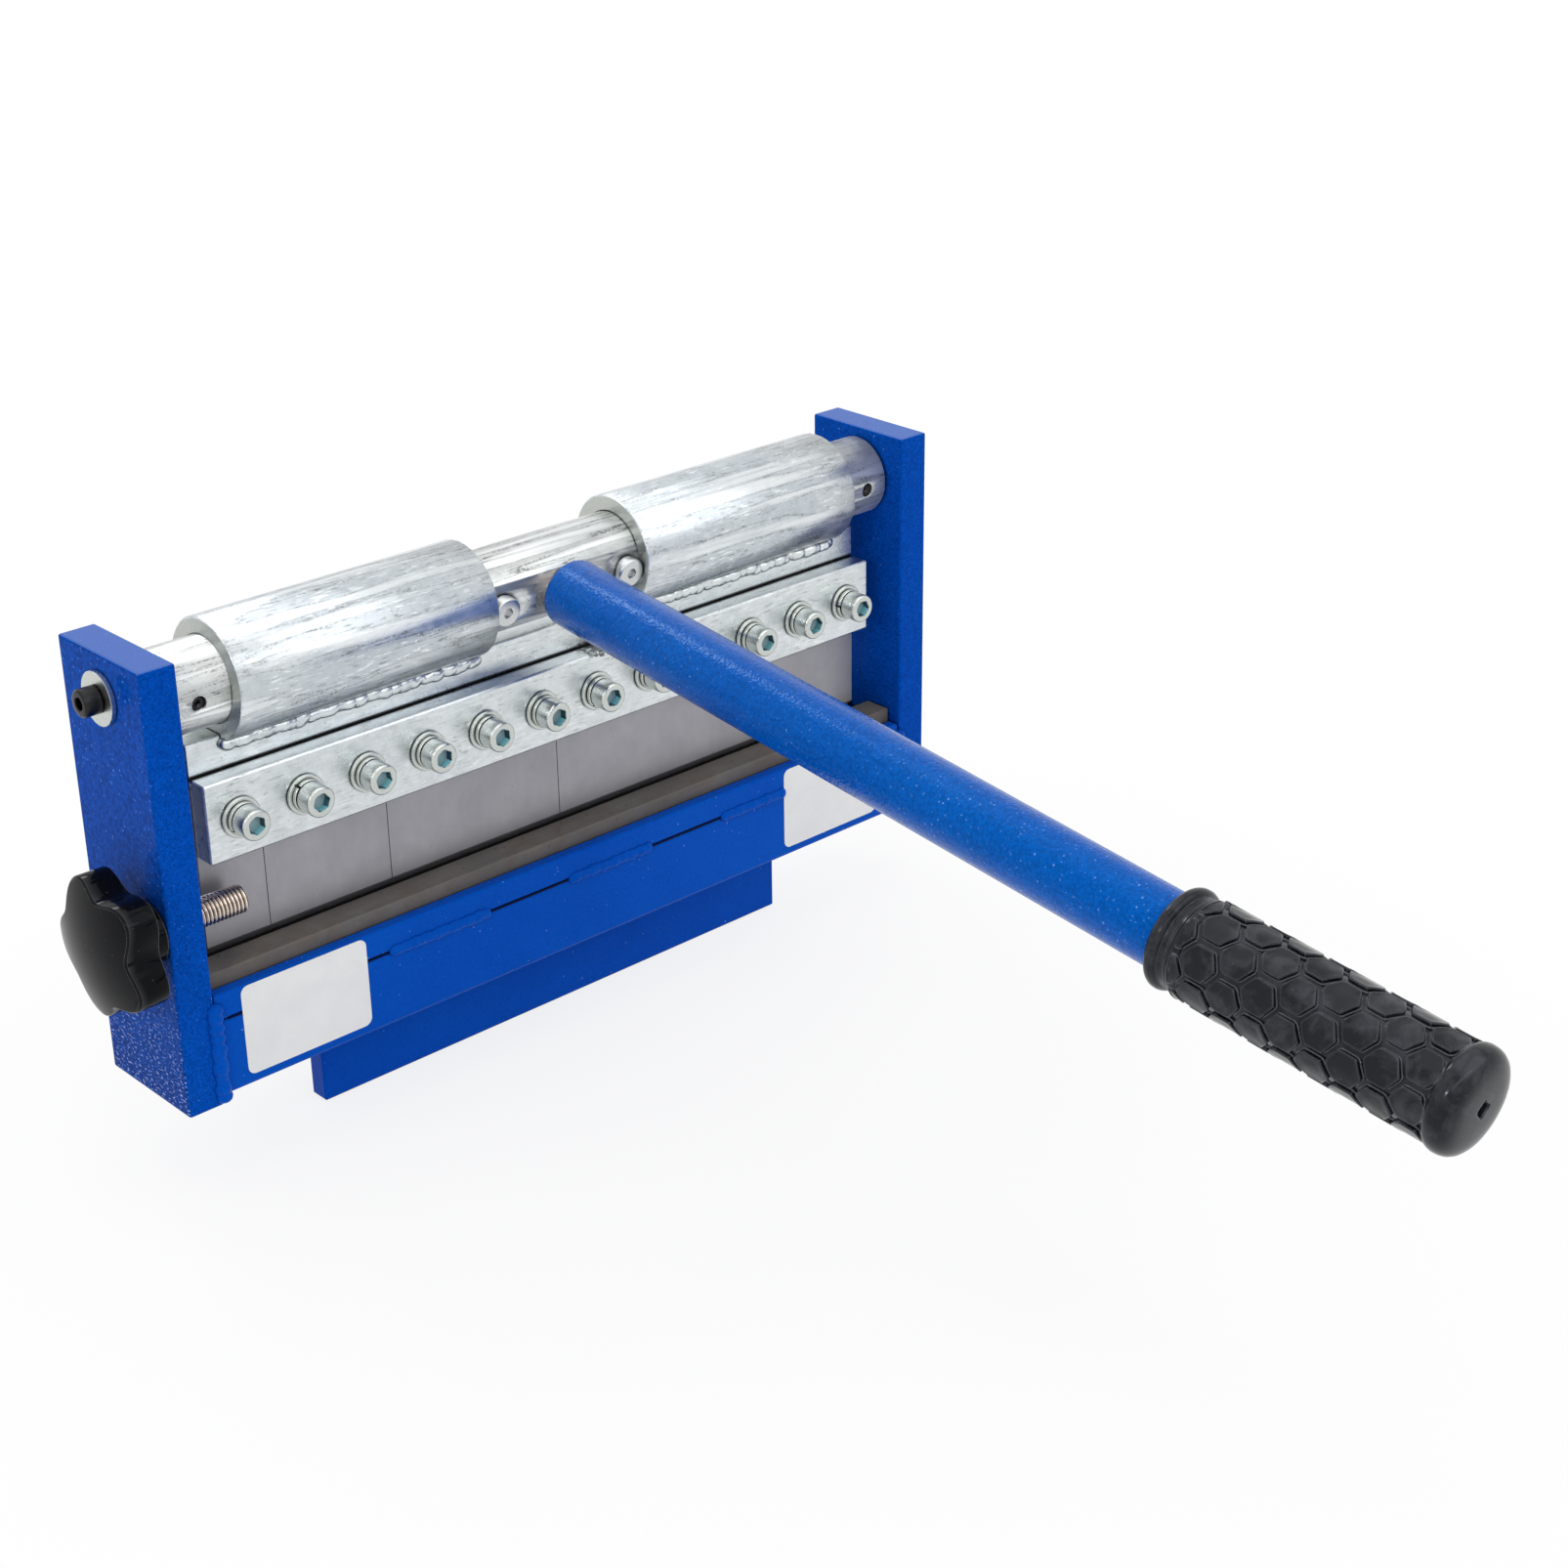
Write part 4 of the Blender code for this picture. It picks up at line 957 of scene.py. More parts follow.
def lofted(name: str, steps: Iterable[Level], sides: int = 48, closed: bool = False) -> Mesh:
    """Loft rings along Z.

    Args:
        name: the mesh's name.
        steps: radius, height, outline and whether it is in a recess, for each level.
        sides: the points round each ring.
        closed: join the last ring to the first.

    Returns:
        The mesh.
    """
    rings = []
    for radius, height, shape, recess in steps:
        turns = [math.tau * index / sides for index in range(sides if radius > 0 else 1)]
        rings.append([(*ring_point(shape, radius, turn), height, float(recess)) for turn in turns])
    return ringed(name, rings, closed=closed)


def merged_copy(node: str) -> Mesh:
    """A CAD node's mesh with its triangles joined and its rounds shaded smooth.

    Args:
        node: the CAD node, which is left alone.

    Returns:
        The copy.
    """
    bm = bmesh.new()
    bm.from_mesh(bpy.data.objects[node].data)
    bmesh.ops.remove_doubles(bm, verts=bm.verts, dist=MERGE_DISTANCE)
    return settle(bm, f"{node}_skin", outward=False)


def joined(name: str, meshes: Iterable[Mesh]) -> Mesh:
    """One mesh of several.

    Args:
        name: the mesh's name.
        meshes: the meshes to join.

    Returns:
        The mesh.
    """
    bm = bmesh.new()
    for mesh in meshes:
        bm.from_mesh(mesh)
    return settle(bm, name, outward=False)


def centre(node: str) -> Vector:
    """The middle of a node's box."""
    low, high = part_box(node)
    return (low + high) / 2


def stood(mesh: Mesh, at: Vector, along: Vector) -> Mesh:
    """Move a mesh so that its own Z axis runs along a direction from a place.

    Args:
        mesh: the mesh to move.
        at: the place for its origin.
        along: the direction for its Z axis.

    Returns:
        The same mesh.
    """
    turn = Vector((0, 0, 1)).rotation_difference(along).to_matrix().to_4x4()
    mesh.transform(Matrix.Translation(at) @ turn)
    return mesh


class GeometryTree:
    """A Geometry Nodes tree with named inputs, and the mesh that it makes."""

    def __init__(self, name: str, **inputs: str) -> None:
        """Start a tree.

        Args:
            name: the tree's name.
            inputs: the type of each input by its name; a material is added to them.
        """
        self.graph = Graph(bpy.data.node_groups.new(name, "GeometryNodeTree"))
        shape = {"Geometry": "Geometry"}
        self.idents = self.graph.sockets("INPUT", {**shape, **inputs, "Material": "Material"})
        self.graph.sockets("OUTPUT", shape)
        self.given = self.graph.add("NodeGroupInput").outputs

    def line(self) -> Socket:
        """Points from Start, one Step apart, as many as Count.

        Returns:
            The points.
        """
        given = self.given
        ins = {"Count": given["Count"], "Start Location": given["Start"], "Offset": given["Step"]}
        return self.graph.out("GeometryNodeMeshLine", ins)

    def piece(self, label: str) -> Socket:
        """The mesh of the object that an input holds."""
        ins = {"Object": self.given[label], "As Instance": True}
        return self.graph.out("GeometryNodeObjectInfo", ins, "Geometry")

    def stand(self, points: Socket, piece: Socket, **more: Socket) -> Socket:
        """Set a piece on each point, with a Rotation or a Scale."""
        ins = {"Points": points, "Instance": piece, **more}
        return self.graph.out("GeometryNodeInstanceOnPoints", ins)

    def close(self, geometry: Socket) -> GeometryTree:
        """End the tree: realise, then set the material.

        Args:
            geometry: the finished instances.

        Returns:
            This tree.
        """
        real = self.graph.out("GeometryNodeRealizeInstances", {0: geometry})
        ins = {"Geometry": real, "Material": self.given["Material"]}
        dressed = self.graph.out("GeometryNodeSetMaterial", ins)
        self.graph.add("NodeGroupOutput", {0: dressed})
        return self

    def bake(self, name: str, **values: Any) -> Mesh:
        """Run the tree on an empty mesh.

        Args:
            name: the result's name.
            values: each input's value by its name.

        Returns:
            A plain mesh.
        """
        carrier = link(bpy.data.objects.new(name, bpy.data.meshes.new(name)))
        modifier = carrier.modifiers.new(name, "NODES")
        modifier.node_group = self.graph.tree
        for key, value in values.items():
            modifier[self.idents[key]] = value
        bpy.context.view_layer.update()
        depsgraph = bpy.context.evaluated_depsgraph_get()
        made = bpy.data.meshes.new_from_object(carrier.evaluated_get(depsgraph))
        carrier.modifiers.remove(modifier)
        bpy.data.objects.remove(carrier)
        return made


def row_tree() -> GeometryTree:
    """A row of one piece at an even pitch, each with its own spin.

    Returns:
        The tree.
    """
    made = GeometryTree(
        "even_row", Piece="Object", Count="Int", Start="Vector", Step="Vector", Turn="Vector",
        Spin="Float", Seed="Int",
    )
    graph, given = made.graph, made.given
    spin = graph.random(given["Seed"], 0.0, given["Spin"])
    placed = made.stand(made.line(), made.piece("Piece"), Rotation=given["Turn"])
    ins = {"Instances": placed, "Rotation": graph.merge(0.0, 0.0, spin)}
    return made.close(graph.out("GeometryNodeRotateInstances", ins))


def bead_tree() -> GeometryTree:
    """A weld bead: overlapping drops of metal along a line.

    Returns:
        The tree.
    """
    made = GeometryTree(
        "weld_bead", Start="Vector", Step="Vector", Count="Int", Size="Vector", Wander="Float",
        Seed="Int",
    )
    graph, given = made.graph, made.given
    limits = {0: (-1.0, -1.0, -1.0), 1: (1.0, 1.0, 1.0), "Seed": given["Seed"]}
    drift = graph.out("FunctionNodeRandomValue", limits, data_type="FLOAT_VECTOR")
    shift = graph.stretch(drift, given["Wander"])
    moved = graph.out("GeometryNodeSetPosition", {"Geometry": made.line(), "Offset": shift})
    drop = graph.out("GeometryNodeMeshUVSphere", {"Segments": 14, "Rings": 8, "Radius": 1.0})
    smooth = graph.out("GeometryNodeSetShadeSmooth", {0: drop})
    size = graph.stretch(given["Size"], graph.random(given["Seed"], 0.86, 1.12))
    return made.close(made.stand(moved, smooth, Scale=size))


def pad_tree() -> GeometryTree:
    """Rows of pads round an axis, each row turned half a pad from the last.

    Returns:
        The tree.
    """
    made = GeometryTree(
        "pad_rows", Pad="Object", Around="Int", Rows="Int", First="Float", Pitch="Float",
        Low="Float", High="Float",
    )
    graph, given = made.graph, made.given
    around = given["Around"]
    index = graph.out("GeometryNodeInputIndex")
    row = graph.math("FLOOR", graph.math("DIVIDE", index, around))
    column = graph.math("MODULO", index, around)
    half = graph.times(graph.math("MODULO", row, 2.0), 0.5)
    share = graph.math("DIVIDE", graph.math("ADD", column, half), around)
    lean = graph.merge(0.0, 0.0, graph.times(share, math.tau))
    height = graph.math("MULTIPLY_ADD", row, given["Pitch"], given["First"])
    ins = {"Count": graph.times(around, given["Rows"]), "Position": graph.merge(0.0, 0.0, height)}
    placed = made.stand(graph.out("GeometryNodePoints", ins), made.piece("Pad"), Rotation=lean)
    real = graph.out("GeometryNodeRealizeInstances", {0: placed})
    x, y, z = graph.split(graph.out("GeometryNodeInputPosition"))
    kept = graph.math("MINIMUM", graph.math("MAXIMUM", z, given["Low"]), given["High"])
    ins = {"Geometry": real, "Position": graph.merge(x, y, kept)}
    return made.close(graph.out("GeometryNodeSetPosition", ins))


def add_piece(
    name: str,
    mesh: Mesh,
    material: Material,
    body: Body,
    nodes: Sequence[str] = (),
) -> None:
    """Put a finished mesh in the scene as a piece.

    Args:
        name: the piece's name.
        mesh: its mesh, in place.
        material: its finish.
        body: what it moves with.
        nodes: the CAD nodes that it stands for.
    """
    mesh.materials.clear()
    mesh.materials.append(material)
    piece = link(bpy.data.objects.new(name, mesh))
    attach(piece, body.value)
    if nodes:
        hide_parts(*nodes)
    LOG.info("%s: %d faces, on %s", name, len(mesh.polygons), body.value)


def dress_node(node: str, material: Material) -> None:
    """Give a CAD node's object its finish.

    Args:
        node: the CAD node.
        material: its finish.
    """
    obj = bpy.data.objects[node]
    if obj.material_slots:
        for slot in obj.material_slots:
            slot.material = material
    else:
        obj.data.materials.append(material)
    LOG.info("%s: keeps its solid, in %s", node, material.name)


@dataclass(frozen=True)
class Bead:
    """A kind of weld bead: its drops' half sizes, their pitch and how far they wander."""

    drop: Triple
    pitch: float = 0.0013
    wander: float = 0.0002

    def lay(
        self, beads: GeometryTree, start: Triple, end: Triple, seed: int, material: Material
    ) -> Mesh:
        """One bead from start to end.

        Args:
            beads: the tree that lays a bead.
            start: the first drop's place.
            end: the last drop's place.
            seed: the bead's own seed.
            material: its finish.

        Returns:
            The bead's mesh.
        """
        run = Vector(end) - Vector(start)
        count = max(2, round(run.length / self.pitch))
        return beads.bake(
            f"bead_{seed}",
            Start=tuple(Vector(start)),
            Step=tuple(run / (count - 1)),
            Count=count,
            Size=self.drop,
            Wander=self.wander,
            Seed=WELD_SEED + seed,
            Material=material,
        )


@dataclass
class Bed:
    """The side plates, rails, base bar, web and die, with their welds, labels and strips of painted
    shadow in the seams.
    """

    plate_bead: Bead = Bead((0.0036, 0.0034, 0.0028))
    stitch_bead: Bead = Bead((0.0024, 0.0017, 0.0026))
    web_bead: Bead = Bead((0.0016, 0.0026, 0.0026))
    plate_foot: float = 0.0005
    plate_stop: float = 0.006
    web_inset: float = 0.004
    stitches: tuple[Pair, ...] = ((-0.1055, -0.0575), (-0.0105, 0.0325), (0.0785, 0.1140))
    # The seam sizes give the strips of painted shadow under the rails.
    seam_depth: float = 0.0002
    seam_height: float = 0.0009
    seam_inset: float = 0.006
    label_size: Pair = (0.060, 0.040)
    label_corner: float = 0.0035
    corner_steps: int = 6
    label_thickness: float = 0.0002
    label_gap: float = 0.00005
    label_centres: tuple[Pair, Pair] = ((-0.149, 0.0441), (0.1457, 0.0439))

    def dress(self, finish: Finishes) -> None:
        """Give the CAD nodes their finishes.

        Args:
            finish: every finish.
        """
        for side in SIDES:
            dress_node(f"{side}_side_plate", finish.plate)
            dress_node(f"{side}_bushing", finish.bronze)
        for node in ("front_rail", "back_rail", "base_bar", "vise_web"):
            dress_node(node, finish.bed)
        dress_node("v_die", finish.die)

    def make_welds(self, beads: GeometryTree, finish: Finishes) -> None:
        """Lay the painted beads where the bars meet the plates and the web.

        Args:
            beads: the tree that lays one bead.
            finish: every finish.
        """
        base_low, base_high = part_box("base_bar")
        rail_low, rail_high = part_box("front_rail")
        web_low, web_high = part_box("vise_web")
        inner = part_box("left_side_plate")[1].x
        seam_z = (base_high.z + rail_low.z) / 2
        bottom, top = base_low.z + self.plate_foot, rail_high.z - self.plate_stop
        faces = (base_low.y, base_high.y)
        lines = [((x, y, bottom), (x, y, top), self.plate_bead) for x in (-inner, inner) for y in faces]
        for start, end in self.stitches:
            lines += [((start, y, seam_z), (end, y, seam_z), self.stitch_bead) for y in faces]
        left, right = web_low.x + self.web_inset, web_high.x - self.web_inset
        for y in (web_low.y, web_high.y):
            lines.append(((left, y, base_low.z), (right, y, base_low.z), self.web_bead))
        meshes = [
            bead.lay(beads, start, end, seed, finish.bed)
            for seed, (start, end, bead) in enumerate(lines)
        ]
        add_piece("frame_welds", joined("frame_welds", meshes), finish.bed, Body.FRAME)

    def make_seam_shadows(self, finish: Finishes) -> None:
        """Lay thin dark strips of painted shadow in the seams under the rails, between the stitches.

        Args:
            finish: every finish.
        """
        low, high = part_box("base_bar")
        level = (high.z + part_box("front_rail")[0].z) / 2
        bm = bmesh.new()
        ends = [low.x + self.seam_inset, *sum(self.stitches, ()), high.x - self.seam_inset]
        for y in (low.y, high.y):
            for start, end in zip(ends[::2], ends[1::2]):
                size = (end - start, self.seam_depth, self.seam_height, 1)
                middle = Vector(((start + end) / 2, y, level))
                matrix = Matrix.Translation(middle) @ Matrix.Diagonal(size)
                bmesh.ops.create_cube(bm, size=1, matrix=matrix)
        add_piece("rail_seams", settle(bm, "rail_seams"), finish.seam, Body.FRAME)

    def make_labels(self, finish: Finishes) -> None:
        """Stick the two blank labels on the bed's front.

        Args:
            finish: every finish.
        """
        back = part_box("base_bar")[0].y - self.label_gap
        half_x, half_z = (size / 2 - self.label_corner for size in self.label_size)
        for side, (x, z) in zip(SIDES, self.label_centres):
            bm = bmesh.new()
            outline = []
            for quarter, (sx, sz) in enumerate(((1, 1), (-1, 1), (-1, -1), (1, -1))):
                for step in range(self.corner_steps + 1):
                    turn = (quarter + step / self.corner_steps) * math.pi / 2
                    across = x + sx * half_x + self.label_corner * math.cos(turn)
                    above = z + sz * half_z + self.label_corner * math.sin(turn)
                    outline.append(bm.verts.new((across, back, above)))
            grown = bmesh.ops.extrude_face_region(bm, geom=[bm.faces.new(outline)])
            moved = [item for item in grown["geom"] if isinstance(item, bmesh.types.BMVert)]
            bmesh.ops.translate(bm, verts=moved, vec=(0, -self.label_thickness, 0))
            name = f"{side}_blank_label"
            add_piece(name, settle(bm, name), finish.label, Body.FRAME)


@dataclass(frozen=True)
class SocketScrew:
    """A socket screw's radii and lengths: its head stands above 0 and its shank below."""

    head: float
    height: float
    socket: float
    depth: float
    shank: float
    length: float
    chamfer: float = 0.0003
    mouth: float = 1.17
    curve: float = 0.0011
    point: float = 0.0005

    def mesh(self, name: str) -> Mesh:
        """The screw, from the socket's floor out over the head to the shank's end.

        Args:
            name: the mesh's name.

        Returns:
            The screw's mesh.
        """
        head, top, socket, shank = self.head, self.height, self.socket, self.shank
        floor, end = top - self.depth, -self.length
        inside = ((0.0, floor), (socket, floor), (socket, top - self.chamfer))
        outside = (
            (socket * self.mouth, top), (head - self.curve, top), (head - 0.0006, top - 0.00015),
            (head - 0.00012, top - 0.0006), (head, top - self.curve), (head, self.chamfer),
            (head - self.chamfer, 0.0), (shank, 0.0),
        )
        tip = ((shank, end + self.point), (shank - self.point, end), (0.0, end))
        # Recess levels, in the socket and at the point, get painted light and shade.
        steps = levels(inside, Ring.HEX, True) + levels(outside) + levels(tip, recess=True)
        return lofted(name, steps)


@dataclass
class Shaft:
    """The eccentric shaft, its pins, bolts and screws."""

    bolt: SocketScrew = SocketScrew(0.0057, 0.0072, 0.0025, 0.0035, 0.003, 0.020)
    keeper: SocketScrew = SocketScrew(0.0065, 0.0048, 0.002, 0.002, 0.004, 0.012)
    keeper_drop: float = math.radians(8)

    def build(self, finish: Finishes) -> None:
        """Remake the round pieces smooth.

        Args:
            finish: every finish.
        """
        mesh = merged_copy("eccentric_shaft")
        add_piece("shaft_turned", mesh, finish.shaft, Body.LEVER, ["eccentric_shaft"])
        for side in SIDES:
            dress_node(f"{side}_journal_pin", finish.bright)
            for node, mesh, material, slot in (
                (f"{side}_pivot_washer", None, finish.screw, Slot.ZINC),
                (f"{side}_grub_screw", None, finish.black, Slot.BLACK),
                (f"{side}_pivot_bolt", self.bolt_mesh(side), finish.black, Slot.BLACK),
                (f"{side}_keeper_screw", self.keeper_mesh(side), finish.keeper, Slot.ZINC),
            ):
                mesh = mesh or merged_copy(node)
                add_piece(f"{node}_turned", mesh, material, Body.LEVER, [node])

    def bolt_mesh(self, side: str) -> Mesh:
        """The black socket bolt that holds a side's journal pin.

        Args:
            side: left or right.

        Returns:
            The screw's mesh, in its place.
        """
        low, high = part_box(f"{side}_pivot_bolt")
        middle = (low + high) / 2
        out, end = (-1, low.x) if side == "left" else (1, high.x)
        seat = Vector((end - out * self.bolt.height, middle.y, middle.z))
        return stood(self.bolt.mesh("pivot_bolt"), seat, Vector((out, 0, 0)))

    def keeper_mesh(self, side: str) -> Mesh:
        """The low screw that keeps a side's sleeve in its place.

        Args:
            side: left or right.

        Returns:
            The screw's mesh, in its place.
        """
        axis, middle = centre(f"{side}_sleeve"), centre(f"{side}_keeper_screw")
        foot = Vector((middle.x, axis.y, axis.z))
        along = Vector((0, -math.cos(self.keeper_drop), -math.sin(self.keeper_drop)))
        reach = (middle - foot).dot(along) + (self.keeper.height + self.keeper.length) / 2
        seat = foot + along * (reach - self.keeper.height)
        return stood(self.keeper.mesh("keeper_screw"), seat, along)


@dataclass
class Lever:
    """The tube, its stud and its moulded grip."""

    drop: float = math.radians(6.75)
    start: float = 0.3505
    end: float = 0.4760
    bore: float = 0.01505
    wall: float = 0.0057
    body: float = 0.01705
    pads_around: int = 8
    pad_rows: int = 10
    first_row: float = 0.3598
    row_pitch: float = 0.0125
    pad_low: float = 0.3618
    pad_high: float = 0.4700
    half_along: float = 0.00637
    half_across: float = 0.00622
    pad_radius: float = 0.01895
    pad_points: int = 48
    pad_squareness: int = 22
    collar: tuple[Pair, ...] = (
        (0.0, 0.0001), (0.0003, 0.0012), (0.0009, 0.0019), (0.0018, 0.0023), (0.0032, 0.0023),
        (0.0042, 0.0019), (0.0049, 0.0011), (0.0053, 0.0003), (0.0060, 0.0), (0.0074, 0.0),
        (0.0077, 0.0004), (0.0089, 0.0005), (0.0094, 0.0009), (0.0101, 0.00125),
        (0.0118, 0.0013), (0.0128, 0.0010), (0.0134, 0.0005), (0.0138, 0.0),
    )
    dome: tuple[Pair, ...] = (
        (0.0122, 0.0), (0.0112, 0.0002), (0.0107, 0.0010), (0.0101, 0.0019), (0.0092, 0.0025),
        (0.0078, 0.0028), (0.0060, 0.0027), (0.0042, 0.0022), (0.0026, 0.0011),
        (0.0014, -0.0006), (0.0006, -0.0030), (0.0002, -0.0060), (0.0, -0.0100), (0.0, -0.0140),
    )
    vent: tuple[Pair, ...] = ((0.0029, 0.0), (0.0026, 0.0003), (0.0025, 0.0048), (0.0, 0.0049))
    pad_profile: tuple[Pair, ...] = (
        (1.0, 0.0166), (1.0, 0.0181), (0.985, 0.01862), (0.955, 0.01888), (0.91, 0.01896),
        (0.86, 0.0189), (0.78, 0.01878), (0.5, 0.01874), (0.2, 0.01876),
    )

    def build(self, pads: GeometryTree, finish: Finishes) -> None:
        """Remake the lever's pieces.

        Args:
            pads: the tree that sets pads round the grip.
            finish: every finish.
        """
        tube = merged_copy("lever_tube")
        add_piece("lever_tube_coated", tube, finish.tube, Body.LEVER, ["lever_tube"])
        dress_node("lever_stud", finish.bright)
        master = link(bpy.data.objects.new("grip_pad_master", self.pad_mesh()))
        rows = pads.bake(
            "grip_pads",
            Pad=master,
            Around=self.pads_around,
            Rows=self.pad_rows,
            First=self.first_row,
            Pitch=self.row_pitch,
            Low=self.pad_low,
            High=self.pad_high,
            Material=finish.rubber,
        )
        bpy.data.objects.remove(master)
        name = "lever_grip_moulded"
        mesh = joined(name, [lofted("grip_body", self.grip_levels(), 96), rows])
        shaft = centre("left_sleeve")
        turn = Matrix.Rotation(math.pi / 2 + self.drop, 4, "X")
        mesh.transform(Matrix.Translation((0, shaft.y, shaft.z)) @ turn)
        add_piece(name, mesh, finish.rubber, Body.LEVER, ["lever_grip"])

    def grip_levels(self) -> list[Level]:
        """The grip's moulding from its inner end wall to the vent in its outer end.

        Returns:
            The levels, in the order of the outline.
        """
        start, end, body = self.start, self.end, self.body
        wall = end - self.wall
        steps = levels(((0.0, wall), (self.bore, wall), (self.bore, start)))
        steps += levels((body + rise, start + at) for at, rise in self.collar)
        steps += levels((body + rise, end - at) for at, rise in self.dome)
        mouth, *inside = [(half, end - at) for half, at in self.vent]
        return steps + levels([mouth], Ring.SQUARE) + levels(inside, Ring.SQUARE, True)

    def pad_mesh(self) -> Mesh:
        """One hexagonal pad, bent round the grip, with soft corners and a rounded edge.

        Returns:
            The pad's mesh, round the Z axis.
        """
        power = self.pad_squareness
        flats = [(flat + 0.5) * math.pi / 3 for flat in range(6)]
        rings = []
        for share, radius in self.pad_profile:
            ring = []
            for index in range(self.pad_points):
                turn = math.tau * index / self.pad_points
                total = sum(max(0.0, math.cos(turn - flat)) ** power for flat in flats)
                reach = share * total ** (-1 / power)
                lean = self.half_across * reach * math.sin(turn) / self.pad_radius
                along = self.half_along * reach * math.cos(turn)
                ring.append((radius * math.cos(lean), radius * math.sin(lean), along, 0.0))
            rings.append(ring)
        return ringed("grip_pad", rings, SOFT_ANGLE)


@dataclass
class Ram:
    """The sleeves, ram bar, clamp bar, punches and clamp screws."""

    screw: SocketScrew = SocketScrew(0.0065, 0.008, 0.0034, 0.0036, 0.004, 0.035)
    screw_count: int = 12
    spin: float = 6.0
    bore: float = 0.0043
    flat_radius: float = 0.0085
    flat_thickness: float = 0.0016
    spring_radius: float = 0.007
    spring_thickness: float = 0.0021
    spring_sides: int = 44
    spring_gap: float = math.radians(9)
    spring_lift: float = 0.0003
    spring_slack: float = 0.00015
    washer_edge: float = 0.0003
    washer_gap: float = 0.00005
    bead: Bead = Bead((0.0042, 0.0029, 0.0029), 0.0014, 0.0007)
    bead_inset: float = 0.002
    front_out: float = 0.0012
    back_out: Pair = (0.0006, 0.0003)
    first_seed: int = 40

    def dress(self, finish: Finishes) -> None:
        """Finish the flat bars and remake the sleeves smooth.

        Args:
            finish: every finish.
        """
        dress_node("ram_bar", finish.ram)
        dress_node("clamp_bar", finish.clamp)
        for length in (30, 60, 90, 180):
            dress_node(f"punch_{length}", finish.punch)
        for side in SIDES:
            node = f"{side}_sleeve"
            mesh = merged_copy(node)
            add_piece(f"{node}_turned", mesh, finish.sleeve, Body.RAM, [node])

    def washer_mesh(self) -> Mesh:
        """The flat washer, and the split spring washer on it.

        Returns:
            The mesh of both.
        """
        bore, rim, top, edge = self.bore, self.flat_radius, self.flat_thickness, self.washer_edge
        outline = (
            (bore, 0.0), (rim - 0.0002, 0.0), (rim, edge), (rim, top - edge), (rim - edge, top),
            (bore, top),
        )
        flat = lofted("flat_washer", levels(outline), closed=True)
        spring = self.spring_mesh(top + self.washer_gap, top + self.spring_thickness)
        return joined("washer_stack", [flat, spring])

    def spring_mesh(self, low: float, high: float) -> Mesh:
        """A split ring between two heights, whose ends stand a little apart.

        Args:
            low: the height of its lower side.
            high: the height of its upper side.

        Returns:
            The ring's mesh.
        """
        bore, rim, edge = self.bore, self.spring_radius, self.washer_edge
        foot, top = low + self.spring_slack, high - self.spring_slack
        section = (
            (bore, foot), (rim - edge, foot), (rim, foot + edge), (rim, top - edge),
            (rim - edge, top), (bore, top),
        )
        loops = []
        for index in range(self.spring_sides + 1):
            share = index / self.spring_sides
            turn = self.spring_gap / 2 + share * (math.tau - self.spring_gap)
            lift = (share - 0.5) * self.spring_lift
            x, y = math.cos(turn), math.sin(turn)
            loops.append([(radius * x, radius * y, height + lift, 0.0) for radius, height in section])
        return ringed("spring_washer", loops)

    def make_screws(self, rows: GeometryTree, finish: Finishes) -> None:
        """Set the row of clamp screws on their washers.

        Args:
            rows: the tree that repeats a piece along a line.
            finish: every finish.
        """
        first, last = centre("washers_01"), centre("washers_12")
        head_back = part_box("clamp_screw_01")[0].y + self.screw.height
        stack_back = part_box("washers_01")[1].y
        for name, mesh, back, cad in (
            ("clamp_screws", self.screw.mesh("socket_screw"), head_back, "clamp_screw"),
            ("clamp_washers", self.washer_mesh(), stack_back, "washers"),
        ):
            master = link(bpy.data.objects.new(f"{name}_master", mesh))
            made = rows.bake(
                name,
                Piece=master,
                Count=self.screw_count,
                Start=(first.x, back, first.z),
                Step=tuple((last - first) / (self.screw_count - 1)),
                Turn=(math.pi / 2, 0.0, 0.0),
                Spin=self.spin,
                Seed=WELD_SEED,
                Material=finish.screw,
            )
            bpy.data.objects.remove(master)
            made.set_sharp_from_angle(angle=SHARP_ANGLE)
            nodes = [f"{cad}_{number:02d}" for number in range(1, self.screw_count + 1)]
            add_piece(name, made, finish.screw, Body.RAM, nodes)

    def make_welds(self, beads: GeometryTree, finish: Finishes) -> None:
        """Lay the beads that hold the ram bar to the sleeves.

        Args:
            beads: the tree that lays one bead.
            finish: every finish.
        """
        ram_low, ram_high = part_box("ram_bar")
        meshes = []
        for number, side in enumerate(SIDES):
            low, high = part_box(f"{side}_sleeve")
            middle = (low + high) / 2
            radius = (high.z - low.z) / 2
            under = middle.z - math.sqrt(radius**2 - (middle.y - ram_low.y) ** 2)
            behind = middle.y + math.sqrt(radius**2 - (ram_high.z - middle.z) ** 2)
            out, (back, rise) = self.front_out, self.back_out
            places = ((ram_low.y - out, under - out), (behind + back, ram_high.z + rise))
            for run, (y, z) in enumerate(places):
                start, end = (low.x + self.bead_inset, y, z), (high.x - self.bead_inset, y, z)
                seed = self.first_seed + number + 2 * run
                meshes.append(self.bead.lay(beads, start, end, seed, finish.ram))
        add_piece("ram_welds", joined("ram_welds", meshes), finish.ram, Body.RAM)


